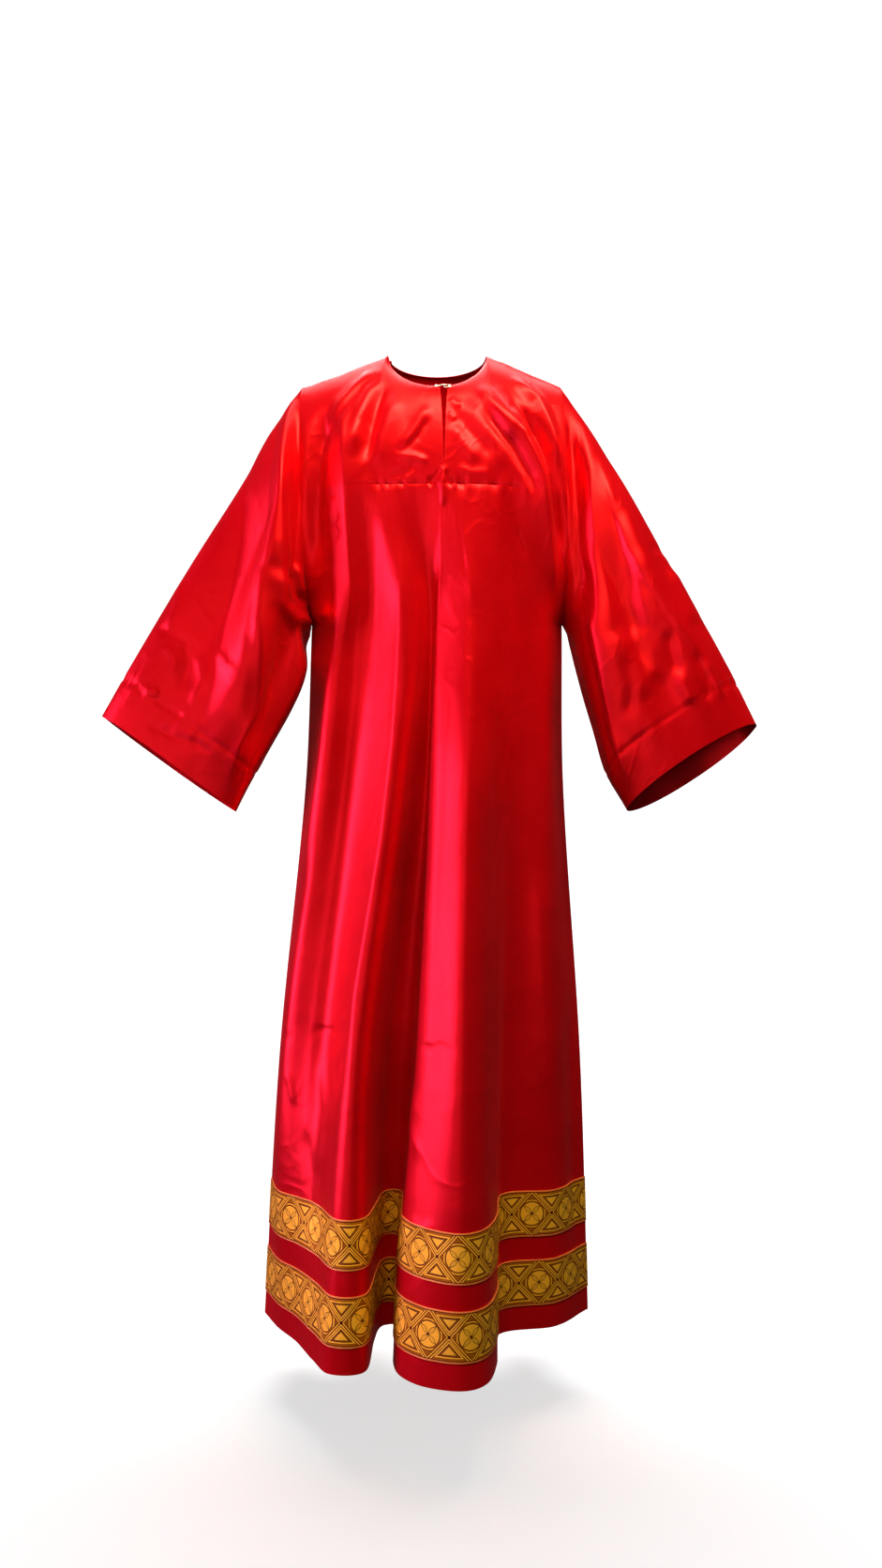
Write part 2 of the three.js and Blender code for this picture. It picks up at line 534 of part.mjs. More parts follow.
// ---------------------------------------------------------------- hook and eye
// Both lie on the cloth at the top of the slit: x across it, y up it and z out of it.
const WIRE_RADIUS = 0.7;
const WIRE_CLEARANCE = 0.4;
const EYE_RADIUS = 4;
const EYE_OVERHANG = 1.5;
const closure = new THREE.Group();
const clothAbove = yokeGrid[0][SLIT_COLUMN + 1].point;
const clothBelow = yokeGrid[1][SLIT_COLUMN + 1].point;
const clothRoll = Math.atan2(clothAbove.z - clothBelow.z, clothAbove.y - clothBelow.y);
const clothNormal = new THREE.Vector3(0, -Math.sin(clothRoll), Math.cos(clothRoll));
closure.position.addVectors(clothAbove, clothBelow).multiplyScalar(0.5);
closure.position.x = SLIT_X + SLIT_WIDTH_TOP / 2 - EYE_OVERHANG;
closure.position.addScaledVector(clothNormal, WIRE_RADIUS + WIRE_CLEARANCE);
closure.rotation.x = clothRoll;

const eye = new THREE.Mesh(new THREE.TorusGeometry(EYE_RADIUS, WIRE_RADIUS, 6, 14), giltWire());
eye.name = 'neck_eye';
closure.add(eye);

const wireReach = WIRE_RADIUS * 2 + WIRE_CLEARANCE;
const hookRoute = [
  [-EYE_RADIUS - 9, 0.2], [-EYE_RADIUS - 4, 0.9], [-EYE_RADIUS, wireReach],
  [-EYE_RADIUS + 2.6, 0], [-EYE_RADIUS, -wireReach],
].map(([x, z]) => new THREE.Vector3(x, 0, z));
const wireSection = new THREE.Shape().absarc(0, 0, WIRE_RADIUS, 0, Math.PI * 2);
const hook = new THREE.Mesh(new THREE.ExtrudeGeometry(wireSection, {
  steps: 12, curveSegments: 3, extrudePath: new THREE.CatmullRomCurve3(hookRoute),
}), giltWire());
hook.name = 'neck_hook';
closure.add(hook);
sticharion.add(closure);

export default sticharion;
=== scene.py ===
# %% [markdown]
# # A red satin sticharion
# A sticharion is the long flared tunic of a deacon or an altar server. It is cut from a front, a back
# and two wide sleeves, and gold galloon is sewn above the hem. This lesson loads the model of its pieces
# as a frame, and then makes the cloth that is seen: thin shells with folds, seams and stitches.

# %% Load the frame
import bpy
import bmesh
import math
import numpy as np
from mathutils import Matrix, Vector


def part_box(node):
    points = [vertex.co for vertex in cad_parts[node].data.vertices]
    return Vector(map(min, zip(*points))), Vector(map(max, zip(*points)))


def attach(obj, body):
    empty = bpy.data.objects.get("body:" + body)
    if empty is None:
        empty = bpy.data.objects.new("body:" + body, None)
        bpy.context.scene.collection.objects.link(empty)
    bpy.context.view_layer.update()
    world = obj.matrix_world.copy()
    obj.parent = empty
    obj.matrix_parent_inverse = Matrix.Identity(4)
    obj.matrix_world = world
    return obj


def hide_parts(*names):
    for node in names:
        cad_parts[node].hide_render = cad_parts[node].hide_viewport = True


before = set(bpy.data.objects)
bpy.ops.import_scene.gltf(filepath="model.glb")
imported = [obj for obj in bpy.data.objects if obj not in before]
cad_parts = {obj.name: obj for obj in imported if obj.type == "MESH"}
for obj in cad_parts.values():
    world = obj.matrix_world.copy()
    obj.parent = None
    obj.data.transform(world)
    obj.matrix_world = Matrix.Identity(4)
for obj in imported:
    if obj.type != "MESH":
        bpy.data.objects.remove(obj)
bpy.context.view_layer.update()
MM = 0.001
print("nodes:", sorted(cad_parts))

# %% [markdown]
# ## Camera and studio
# The camera stands level, in front of the middle of the garment. Its lens is wide, so that a garment
# nearly 1.4 m long fills the picture from under two metres away.

# %% The camera
CAMERA_PLACE = (0.014, -1.8, -0.614)
LENS_MM = 28.7
SENSOR_MM = 36

camera_data = bpy.data.cameras.new("studio_camera")
camera_data.lens = LENS_MM
camera_data.sensor_width = SENSOR_MM
camera = bpy.data.objects.new("studio_camera", camera_data)
camera.location = CAMERA_PLACE
camera.rotation_euler = (math.radians(90), 0, 0)
bpy.context.scene.collection.objects.link(camera)
bpy.context.scene.camera = camera
bpy.context.scene.view_settings.view_transform = "Standard"

# %% [markdown]
# Every finish in this lesson is a tree of nodes. Small helpers keep the trees short: one starts a finish,
# one adds a node, and one gives a socket either a plain value or a link from another node.

# %% Helpers for finishes
def join(tree, value, socket):
    """Gives a socket a plain value, or a link from another node's socket."""
    if isinstance(value, bpy.types.NodeSocket):
        tree.links.new(value, socket)
    else:
        socket.default_value = value


def new_finish(name, **settings):
    """A new material, its node tree and its shader, with some of the shader's sockets set."""
    finish = bpy.data.materials.new(name)
    finish.use_nodes = True
    shader = finish.node_tree.nodes["Principled BSDF"]
    for socket, value in settings.items():
        shader.inputs[socket.replace("_", " ")].default_value = value
    return finish, finish.node_tree, shader


def node(tree, kind, **values):
    """A new node. Each value goes to its property or to its socket of that name."""
    made = tree.nodes.new(kind)
    for key, value in values.items():
        if hasattr(made, key):
            setattr(made, key, value)
        else:
            join(tree, value, made.inputs[key.replace("_", " ")])
    return made


# %% [markdown]
# The floor curves up into a wall, as paper does in a studio, so that no corner shows. The wall goes all
# the way round, to be seen from behind the garment too: one profile is spun about the middle. The paper
# has a painted glow, stronger away from the garment, so that it is white there. Nearer the garment it
# glows less, which paints shade under the hem, and the real shadow of the white light shows there too.

# %% Floor and backdrop
FLOOR_Z = -1.49
ROOM_RADIUS = 5.0
ROOM_CURVE = 1.5
ROOM_TOP = 7.0
ROOM_STEPS = 64
CURVE_STEPS = 12

profile = [(0, FLOOR_Z), (ROOM_RADIUS - ROOM_CURVE, FLOOR_Z)]
for step in range(1, CURVE_STEPS + 1):
    angle = math.radians(90 * step / CURVE_STEPS)
    profile.append((ROOM_RADIUS - ROOM_CURVE * (1 - math.sin(angle)),
                    FLOOR_Z + ROOM_CURVE * (1 - math.cos(angle))))
profile.append((ROOM_RADIUS, ROOM_TOP))

paper = bmesh.new()
points = [paper.verts.new((0, y, z)) for y, z in profile]
edges = [paper.edges.new(pair) for pair in zip(points, points[1:])]
bmesh.ops.spin(paper, geom=points + edges, cent=(0, 0, 0), axis=(0, 0, 1), angle=2 * math.pi,
               steps=ROOM_STEPS, use_merge=True)
bmesh.ops.remove_doubles(paper, verts=paper.verts, dist=0.0001)
bmesh.ops.recalc_face_normals(paper, faces=paper.faces)
bmesh.ops.reverse_faces(paper, faces=paper.faces)


def in_scene(mesh):
    """The mesh as an object at the origin, smooth shaded."""
    mesh.polygons.foreach_set("use_smooth", [True] * len(mesh.polygons))
    made = bpy.data.objects.new(mesh.name, mesh)
    bpy.context.scene.collection.objects.link(made)
    return made


def object_from(bm, name):
    """The bmesh as an object, after which the bmesh is freed."""
    mesh = bpy.data.meshes.new(name)
    bm.to_mesh(mesh)
    bm.free()
    return in_scene(mesh)


backdrop = object_from(paper, "backdrop_paper")
print("backdrop", len(backdrop.data.polygons), "faces")

# %% The paper's finish
# The paper's emission is a painted glow. GLOW_UNDER_HEM is its dimmer level near the middle, which paints
# shade under the garment.
GLOW_UNDER_HEM = 0.68
GLOW_RISES = (1.6, 2.6)   # metres from the middle of the garment

paper_finish, tree, shader = new_finish("white_paper", Base_Color=(0.86, 0.86, 0.86, 1), Roughness=0.9,
                                        Specular_IOR_Level=0.0, Emission_Color=(1, 1, 1, 1))
place = node(tree, "ShaderNodeTexCoord")
far = node(tree, "ShaderNodeVectorMath", operation="LENGTH")
tree.links.new(place.outputs["Object"], far.inputs[0])
# Painted glow on the paper: weaker near the garment, where it paints shade, and full far away.
glow = node(tree, "ShaderNodeMapRange", interpolation_type="SMOOTHSTEP", Value=far.outputs["Value"],
            From_Min=GLOW_RISES[0], From_Max=GLOW_RISES[1], To_Min=GLOW_UNDER_HEM, To_Max=1.0)
tree.links.new(glow.outputs["Result"], shader.inputs["Emission Strength"])
backdrop.data.materials.append(paper_finish)
# The paper is seen, but throws no light on the cloth, so that the folds keep their dark sides.
backdrop.visible_diffuse = False
backdrop.visible_glossy = False

# %% [markdown]
# Satin shows its folds by what it reflects, so the lights matter as much as the cloth. A large cool
# light stands on the left, and a warm one hangs above the front on the right. Both are coloured, so
# they are linked to all but the paper, which has a white light of its own and keeps a grey shadow.
# A dim light behind shows the back.

# %% Lights
LIGHTS = [
    # name, place, aimed at, width, height, watts, colour
    ("left_window", (-2.3, -0.65, -0.62), (0.0, 0.0, -0.72), 0.8, 1.8, 95, (0.66, 0.36, 0.88)),
    ("shoulder_lamp", (0.42, -1.0, 1.1), (0.05, -0.05, -0.35), 1.4, 0.5, 88, (1.0, 0.7, 0.38)),
    ("front_fill", (-1.1, -3.0, -0.5), (0.0, 0.0, -0.7), 1.8, 2.2, 16, (1.0, 0.72, 0.66)),
    ("back_fill", (-0.3, 2.4, 1.9), (0.0, 0.0, -0.6), 1.6, 1.0, 75, (1.0, 0.7, 0.7)),
    ("floor_wash", (0.0, 1.0, 2.6), (0.0, 1.0, -1.5), 3.0, 1.5, 100, (1, 1, 1)),
]
all_but_paper = bpy.data.collections.new("all_but_paper")
all_but_paper.objects.link(backdrop)
all_but_paper.collection_objects[0].light_linking.link_state = "EXCLUDE"
for name, place, target, width, height, watts, colour in LIGHTS:
    light_data = bpy.data.lights.new(name, "AREA")
    light_data.shape = "RECTANGLE"
    light_data.size = width
    light_data.size_y = height
    light_data.energy = watts
    light_data.color = colour
    light = bpy.data.objects.new(name, light_data)
    light.location = place
    light.rotation_euler = (Vector(target) - Vector(place)).to_track_quat("-Z", "Y").to_euler()
    bpy.context.scene.collection.objects.link(light)
    if name != "floor_wash":
        light.light_linking.receiver_collection = all_but_paper

world = bpy.data.worlds.new("studio_air")
world.use_nodes = True
air = world.node_tree.nodes["Background"]
air.inputs["Color"].default_value = (1.0, 0.99, 0.99, 1)
air.inputs["Strength"].default_value = 0.06
bpy.context.scene.world = world
print(len(LIGHTS), "lights")

# %% [markdown]
# ## The cut
# The sizes below are those of the solids, in millimetres. `depth` is the distance in front of the
# shoulder line, so y is minus the depth.

# %% Sizes of the garment
HEM_Z = -1378.0
SHOULDER_HALF_WIDTH = 184.0
SHOULDER_DROP = 44.0
ARMHOLE_BOTTOM_Z = -385.0
ARMHOLE_FRONT_DEPTH = 62.0
ARMHOLE_BACK_DEPTH = 58.0
ARMHOLE_BOW = 4.0
UNDERARM_POINT = 1.4
NECK_CENTRE_X = 8.5
NECK_HALF_WIDTH = 69.5
NECK_FRONT_DEPTH = 70.0
NECK_FRONT_DROP = 63.0
NECK_BACK_DEPTH = 50.0
NECK_BACK_DROP = 12.0
NECK_FALL_POWER = 1.6
CHEST_Z = -(SHOULDER_DROP - ARMHOLE_BOTTOM_Z) / 2
CHEST_SEAM_ARCH = 10.0
CHEST_FRONT_DEPTH = 100.0
CHEST_BACK_DEPTH = 86.0
CHEST_ROUNDNESS = 0.7
SLIT_X = 18.0
SLIT_WIDTH_TOP = 12.0
SLIT_FOOT_Z = -174.0
CUFF_HEM = 60.0
GALLOON_WIDTH = 64.0
GALLOON_SPACING = 33.0
HEM_TO_GALLOON = 34.0
KNEE_Z = -1000.0
WAIST_Z = -614.0
STATION_Z = [HEM_Z, KNEE_Z, WAIST_Z, ARMHOLE_BOTTOM_Z]

# %% [markdown]
# Each row of these tables is one fold line, from the wearer's right to the left: its share of the
# panel's width, and then its x and depth at the hem, knee, waist and armpit.

# %% Fold lines
SIDE_RIGHT = [(-241, -8), (-219, -4), (-181, 0), (-172, 0)]
SIDE_LEFT = [(228, -20), (215, -8), (190, 0), (188, 0)]
FRONT_FOLDS = [
    ("right side seam", 0.0, *SIDE_RIGHT),
    ("outer ridge", 0.1, (-214, 46), (-206, 54), (-152, 74), (-133, 74)),
    ("outer hollow", 0.17, (-184, 88), (-170, 72), (-120, 76), (-102, 74)),
    ("crest foot", 0.225, (-156, 142), (-141, 88), (-100, 81), (-77, 79)),
    ("right crest", 0.275, (-130, 182), (-112, 148), (-58, 126), (-42, 107)),
    ("crest turn", 0.33, (-84, 174), (-86, 146), (-38, 120), (-24, 103)),
    ("hidden wall", 0.385, (-75, 90), (-64, 98), (-24, 94), (-12, 89)),
    ("middle valley", 0.435, (-62, 42), (-44, 62), (-9, 74), (-2, 79)),
    ("valley turn", 0.48, (-47, 50), (-27, 72), (0, 82), (6, 82)),
    ("middle edge", 0.535, (-54, 150), (-14, 152), (6, 134), (13, 95)),
    ("middle slope", 0.59, (-20, 208), (6, 182), (23, 153), (30, 108)),
    ("middle crest", 0.64, (36, 228), (38, 205), (50, 166), (54, 117)),
    ("middle flank", 0.7, (72, 208), (68, 188), (74, 144), (76, 108)),
    ("left edge", 0.76, (88, 150), (88, 140), (94, 106), (98, 95)),
    ("left valley", 0.82, (94, 66), (104, 62), (116, 78), (130, 74)),
    ("left panel", 0.9, (174, 40), (170, 50), (162, 56), (163, 50)),
    ("left side seam", 1.0, *SIDE_LEFT),
]
BACK_FOLDS = [
    ("right side seam", 0.0, *SIDE_RIGHT),
    ("right ridge", 0.12, (-216, -104), (-196, -92), (-156, -70), (-138, -62)),
    ("right valley", 0.24, (-146, -72), (-130, -74), (-106, -70), (-96, -70)),
    ("right crest", 0.35, (-98, -176), (-88, -146), (-66, -106), (-58, -84)),
    ("middle valley", 0.45, (-36, -78), (-28, -84), (-20, -84), (-20, -82)),
    ("middle crest", 0.56, (28, -192), (28, -158), (24, -110), (20, -86)),
    ("left valley", 0.67, (84, -70), (78, -78), (66, -80), (58, -80)),
    ("left crest", 0.78, (144, -152), (136, -128), (114, -92), (104, -72)),
    ("left hollow", 0.89, (194, -62), (184, -60), (162, -52), (154, -46)),
    ("left side seam", 1.0, *SIDE_LEFT),
]


# %% Curves through the tables
def mix(a, b, t):
    return a + (b - a) * t


def arch(share):
    return 1 - (2 * share - 1) ** 2


def smooth_through(knots, values, t):
    """A smooth curve through values at increasing knots, for a whole array of places t."""
    knots = np.asarray(knots, float)
    values = np.asarray(values, float)
    t = np.atleast_1d(t)
    last = len(knots) - 1
    slopes = np.array([(values[min(k + 1, last)] - values[max(k - 1, 0)])
                       / (knots[min(k + 1, last)] - knots[max(k - 1, 0)]) for k in range(last + 1)])
    i = np.clip(np.searchsorted(knots, t, side="left") - 1, 0, last - 1)
    width = knots[i + 1] - knots[i]
    s = (t - knots[i]) / width
    spread = (slice(None),) + (None,) * (values.ndim - 1)
    s, width = s[spread], width[spread]
    return ((2 * s**3 - 3 * s**2 + 1) * values[i] + (s**3 - 2 * s**2 + s) * width * slopes[i]
            + (3 * s**2 - 2 * s**3) * values[i + 1] + (s**3 - s**2) * width * slopes[i + 1])


# %% The armhole and the chest
def armhole(side, degrees, facing):
    """The armhole is a tall oval: 0 degrees at the shoulder, 90 at the chest, 180 under the arm."""
    sine = np.sin(np.radians(degrees))
    cosine = np.cos(np.radians(degrees))
    bottom_x = SIDE_RIGHT[3][0] if side < 0 else SIDE_LEFT[3][0]
    x = mix(side * SHOULDER_HALF_WIDTH, bottom_x, (1 - cosine) / 2) + side * ARMHOLE_BOW * sine
    z = CHEST_Z + (-SHOULDER_DROP - CHEST_Z) * cosine
    swing = np.where(np.asarray(degrees) > 90, np.abs(sine) ** UNDERARM_POINT, sine)
    depth = ARMHOLE_FRONT_DEPTH * swing if facing > 0 else -ARMHOLE_BACK_DEPTH * swing
    return np.stack([x, -depth, z], axis=-1)


def armhole_degrees(z):
    half = -SHOULDER_DROP - CHEST_Z
    return np.degrees(np.arccos(np.clip((np.asarray(z) - CHEST_Z) / half, -1, 1)))


def chest(share, facing):
    """Places on the body at the height of the chest seam."""
    right = armhole(-1, 90.0, facing)
    left = armhole(1, 90.0, facing)
    edge = ARMHOLE_FRONT_DEPTH if facing > 0 else ARMHOLE_BACK_DEPTH
    middle = CHEST_FRONT_DEPTH if facing > 0 else CHEST_BACK_DEPTH
    depth = mix(edge, middle, np.maximum(arch(share), 0) ** CHEST_ROUNDNESS) * facing
    return np.stack([mix(right[0], left[0], share), -depth,
                     right[2] + CHEST_SEAM_ARCH * arch(share)], axis=-1)


# %% The skirt below the chest, for a whole grid of shares and heights
def skirt(folds, facing, shares, heights):
    """Rows of points, one row a height (falling) and one column a share."""
    line_shares = np.array([line[1] for line in folds])
    at_stations = np.array([line[2:] for line in folds], float).transpose(1, 0, 2)
    at_chest = chest(line_shares, facing)
    with_chest = np.concatenate([at_stations, np.stack([at_chest[:, 0], -at_chest[:, 1]], -1)[None]])
    places = smooth_through(STATION_Z + [CHEST_Z], with_chest, heights)
    sides = smooth_through(STATION_Z, at_stations, heights)
    for column, side in ((0, -1), (-1, 1)):
        seam = armhole(side, armhole_degrees(np.maximum(heights, ARMHOLE_BOTTOM_Z)), facing)
        above = heights > ARMHOLE_BOTTOM_Z
        places[:, column] = np.where(above[:, None], np.stack([seam[:, 0], -seam[:, 1]], -1),
                                     sides[:, column])
    across = smooth_through(line_shares, places.transpose(1, 0, 2), shares).transpose(1, 0, 2)
    rise = np.clip((heights - ARMHOLE_BOTTOM_Z) / (CHEST_Z - ARMHOLE_BOTTOM_Z), 0, 1)
    z = heights[:, None] + CHEST_SEAM_ARCH * arch(shares)[None] * rise[:, None]
    return np.stack([across[..., 0], -across[..., 1], z], axis=-1)


# %% The top edge and what hangs from it
SHOULDER_SHARE = {1: 11 / 40, -1: 11 / 30}   # of the panel's width, front and back
SLIT_SHARES = (21 / 40, 22 / 40)


def neck_turn(shares, facing):
    """How far round the neck each column stands, from 0 at the right shoulder seam to pi."""
    start = SHOULDER_SHARE[facing]
    if facing < 0:
        return np.pi * (shares - start) / (1 - 2 * start)
    left_edge, right_edge = [np.arccos((NECK_CENTRE_X - SLIT_X - side * SLIT_WIDTH_TOP / 2)
                                       / NECK_HALF_WIDTH) for side in (-1, 1)]
    return np.interp(shares, [start, SLIT_SHARES[0], SLIT_SHARES[1], 1 - start],
                     [0, left_edge, right_edge, np.pi])


def top_edge(shares, facing):
    start = SHOULDER_SHARE[facing]
    turn = neck_turn(np.clip(shares, start, 1 - start), facing)
    sine = np.sin(turn)
    drop, depth = (NECK_FRONT_DROP, NECK_FRONT_DEPTH) if facing > 0 else (NECK_BACK_DROP, -NECK_BACK_DEPTH)
    neck = np.stack([NECK_CENTRE_X - NECK_HALF_WIDTH * np.cos(turn), -depth * sine, -drop * sine], -1)
    t = np.minimum(shares, 1 - shares) / start
    out = np.where(shares < 0.5, -1, 1) * SHOULDER_HALF_WIDTH
    inner = NECK_CENTRE_X + np.where(shares < 0.5, -1, 1) * NECK_HALF_WIDTH
    shoulder = np.stack([mix(out, inner, t), 0 * t, -SHOULDER_DROP * (1 - t)], -1)
    return np.where((t < 1)[:, None], shoulder, neck), np.where(t < 1, 0, sine)


def shoulders(facing, shares, degrees):
    """Rows of points from the top edge (0 degrees) down to the chest seam (90 degrees)."""
    top, neck_share = top_edge(shares, facing)
    low = chest(shares, facing)
    sine = np.sin(np.radians(degrees))[:, None]
    cosine = np.cos(np.radians(degrees))[:, None]
    fall = mix(1 - cosine, (degrees[:, None] / 90) ** NECK_FALL_POWER, neck_share[None])
    x = mix(top[:, 0][None], low[:, 0][None], (1 - cosine + sine) / 2)
    y = mix(top[:, 1][None], low[:, 1][None], sine)
    z = mix(top[:, 2][None], low[:, 2][None], fall)
    rows = np.stack([x, y, z], -1)
    rows[:, 0] = armhole(-1, degrees, facing)
    rows[:, -1] = armhole(1, degrees, facing)
    return rows


# %% [markdown]
# ## From points to cloth
# Each piece starts as a flat bmesh grid, whose points are then moved to their places. Creases, puckers
# and a slow unevenness push the points out or in, along the cloth's own normals. A thin wall is added
# last, by Solidify, so that the edges at the neck, cuffs and hem have their thickness.

# %% Helpers for uneven cloth
LATTICE = 96


def eased(t):
    """From 0 to 1, slow at both ends."""
    return t * t * (3 - 2 * t)


def soft_noise(x, y, seed):
    """Smooth noise from -1 to 1 with bumps about one unit across, the same on every run."""
    lattice = np.random.default_rng(seed).uniform(-1, 1, (LATTICE, LATTICE))
    x0 = np.floor(x).astype(int)
    y0 = np.floor(y).astype(int)
    fx = eased(x - x0)
    fy = eased(y - y0)
    pick = lambda i, j: lattice[(y0 + j) % LATTICE, (x0 + i) % LATTICE]
    return mix(mix(pick(0, 0), pick(1, 0), fx), mix(pick(0, 1), pick(1, 1), fx), fy)


def running_lengths(rows, axis):
    """How far along a grid each row (axis 0) or column (axis 1) of it stands, on average."""
    steps = np.linalg.norm(np.diff(rows, axis=axis), axis=-1).mean(axis=1 - axis)
    return np.concatenate([[0], np.cumsum(steps)])


def unevenness(rows, seed, across=62.0, down=330.0, size=2.0):
    """Slow long waves and small short ones, as hanging cloth has."""
    u = running_lengths(rows, 1)[None]
    v = running_lengths(rows, 0)[:, None]
    slow = soft_noise(u / across + 0 * v, v / down + 0 * u, seed)
    quick = soft_noise(u / 26 + v / 400, v / 120 + 0 * u, seed + 7)
    return size * (slow + 0.28 * quick)


def normals_of(rows, closed=False):
    """Outward unit normals of a grid of points whose columns run to the right as seen from outside."""
    if closed:
        wide = np.concatenate([rows[:, -2:-1], rows, rows[:, 1:2]], axis=1)
        along = wide[:, 2:] - wide[:, :-2]
    else:
        along = np.gradient(rows, axis=1)
    up = -np.gradient(rows, axis=0)
    normal = np.cross(along, up)
    return normal / np.maximum(np.linalg.norm(normal, axis=-1, keepdims=True), 1e-9)


# %% Helpers for creases and folds
END_SHARE = 0.25        # of a path's length, over which a crease fades in and out
TOP_ROUNDING = 0.02     # of a pressed crease, and what brings its top back to the full rise
TOP_LIFT = 0.14
CREST_ROUNDING = 2.0
FLANK_POWER = 1.4
HELD_SHARE = 0.03       # of a panel's width or a sleeve's length, beside the seams
PRESSED = True


def beside_path(rows, path):
    """How far each point is from a path of (x, z) points, on which side, and the fade at its ends."""
    path = np.asarray(path, float)
    x = rows[..., 0]
    z = rows[..., 2]
    best = np.full(x.shape, np.inf)
    run = np.zeros(x.shape)
    side = np.zeros(x.shape)
    lengths = np.linalg.norm(np.diff(path, axis=0), axis=1)
    starts = np.concatenate([[0], np.cumsum(lengths)])
    for (a, b), length, start in zip(zip(path, path[1:]), lengths, starts):
        t = np.clip(((x - a[0]) * (b[0] - a[0]) + (z - a[1]) * (b[1] - a[1])) / length**2, 0, 1)
        far = np.hypot(x - mix(a[0], b[0], t), z - mix(a[1], b[1], t))
        turn = (b[0] - a[0]) * (z - a[1]) - (b[1] - a[1]) * (x - a[0])
        nearer = far < best
        best = np.where(nearer, far, best)
        run = np.where(nearer, start + t * length, run)
        side = np.where(nearer, np.where(turn > 0, 1, -1), side)
    to_end = np.minimum(run, starts[-1] - run) / (END_SHARE * starts[-1])
    return best, side, eased(np.clip(to_end, 0, 1))


def crease(rows, path, width, rise, pressed=False):
    """A soft ridge or trough along a path, or a pressed one with a sharp top."""
    far, side, fade = beside_path(rows, path)
    if pressed:
        return rise * fade * np.exp(TOP_LIFT - np.sqrt((far / width) ** 2 + TOP_ROUNDING))
    return rise * fade * np.exp(-(far / width) ** 2)


def broad_fold(rows, path, left, right, rise):
    """A fold with a crest along a path that falls downwards, and its own width on either side."""
    far, side, fade = beside_path(rows, path)
    away = (np.hypot(far, CREST_ROUNDING) - CREST_ROUNDING) / np.where(side < 0, left, right)
    return rise * fade * (1 - np.clip(away, 0, 1)) ** FLANK_POWER


def pushed_by(rows, creases, broad_folds=()):
    """How far all of a piece's creases and broad folds push its points outwards."""
    return (sum(crease(rows, *one) for one in creases)
            + sum(broad_fold(rows, *one) for one in broad_folds))


def pushed_out(rows, push, neck_rows):
    """The points moved along their normals, but held at the side seams and at the top edge."""
    shares = np.linspace(0, 1, rows.shape[1])
    edge_hold = np.clip(np.minimum(shares, 1 - shares) / HELD_SHARE, 0, 1)[None]
    neck_hold = np.clip(np.arange(len(rows)) / neck_rows, 0, 1)[:, None]
    return rows + normals_of(rows) * (push * edge_hold * neck_hold)[..., None]


# %% Pieces of cloth from grids of points
CLOTH_MM = 0.8
RIM_WEIGHT = 90


def sharpen_edges(bm):
    """Marks the open edges, so that the rim of the wall does not bend the light on the cloth."""
    for edge in bm.edges:
        edge.smooth = not edge.is_boundary


def cloth_piece(name, rows, finish, closed=False, thickness=CLOTH_MM):
    """A grid of points in mm, rows downwards and columns to the right, as a thin shell."""
    last_row, last_column = rows.shape[0] - 1, rows.shape[1] - 1
    u = running_lengths(rows, 1) * MM
    v = running_lengths(rows, 0) * MM
    bm = bmesh.new()
    uv_layer = bm.loops.layers.uv.new("cloth")
    bmesh.ops.create_grid(bm, x_segments=last_column, y_segments=last_row, size=0.5)

    def in_grid(vert):
        return last_row - round((vert.co.y + 0.5) * last_row), round((vert.co.x + 0.5) * last_column)

    for face in bm.faces:
        for loop in face.loops:
            row, column = in_grid(loop.vert)
            loop[uv_layer].uv = (u[column], -v[row])
    for vert in bm.verts:
        vert.co = rows[in_grid(vert)] * MM
    if closed:
        bmesh.ops.remove_doubles(bm, verts=bm.verts, dist=0.00001)
    sharpen_edges(bm)
    piece = object_from(bm, name)
    wall = piece.modifiers.new("wall", "SOLIDIFY")
    wall.thickness = thickness * MM
    wall.offset = -1
    wall.use_even_offset = True
    wall.use_rim = True
    rims = piece.modifiers.new("flat_rims", "WEIGHTED_NORMAL")
    rims.weight = RIM_WEIGHT
    rims.keep_sharp = True
    piece.data.materials.append(finish)
    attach(piece, "root")
    return piece


def cloth_area(rows):
    """The area of a grid of points in square metres."""
    a = rows[1:, 1:] - rows[:-1, :-1]
    b = rows[1:, :-1] - rows[:-1, 1:]
    return float(np.linalg.norm(np.cross(a, b), axis=-1).sum() / 2) * MM * MM


# %% [markdown]
# ## Satin
# Satin shines because its long threads lie side by side. The shader gives it a deep red body, a broad
# red-tinted gloss stretched along the threads, and a soft edge glow. Fine ribs stand for the threads,
# and faint crinkles for what the pressing iron left.

# %% More helpers for node trees
def math_node(tree, operation, *terms):
    """One sum of a node tree: each term is a number or a socket."""
    made = node(tree, "ShaderNodeMath", operation=operation)
    for place, term in enumerate(terms):
        join(tree, term, made.inputs[place])
    return made.outputs[0]


class Sums:
    """Sums on node sockets, written as one would write them on numbers."""

    def __init__(self, tree):
        self.tree = tree

    def __getattr__(self, operation):
        return lambda *terms: math_node(self.tree, operation.upper(), *terms)

    def smooth_step(self, low, high, value):
        return node(self.tree, "ShaderNodeMapRange", interpolation_type="SMOOTHSTEP", Value=value,
                    From_Min=low, From_Max=high).outputs["Result"]

    def line(self, distance, centre, width):
        """1 on a line of a figure and 0 beside it, with a soft edge."""
        off = self.absolute(self.subtract(distance, centre))
        return self.subtract(1.0, self.smooth_step(width / 2 - 0.12, width / 2 + 0.22, off))


def colour_mix(tree, share, first, second):
    """Mixes two colours: each is a socket or four numbers."""
    made = node(tree, "ShaderNodeMix", data_type="RGBA")
    for place, value in ((0, share), (6, first), (7, second)):
        join(tree, value, made.inputs[place])
    return made.outputs[2]


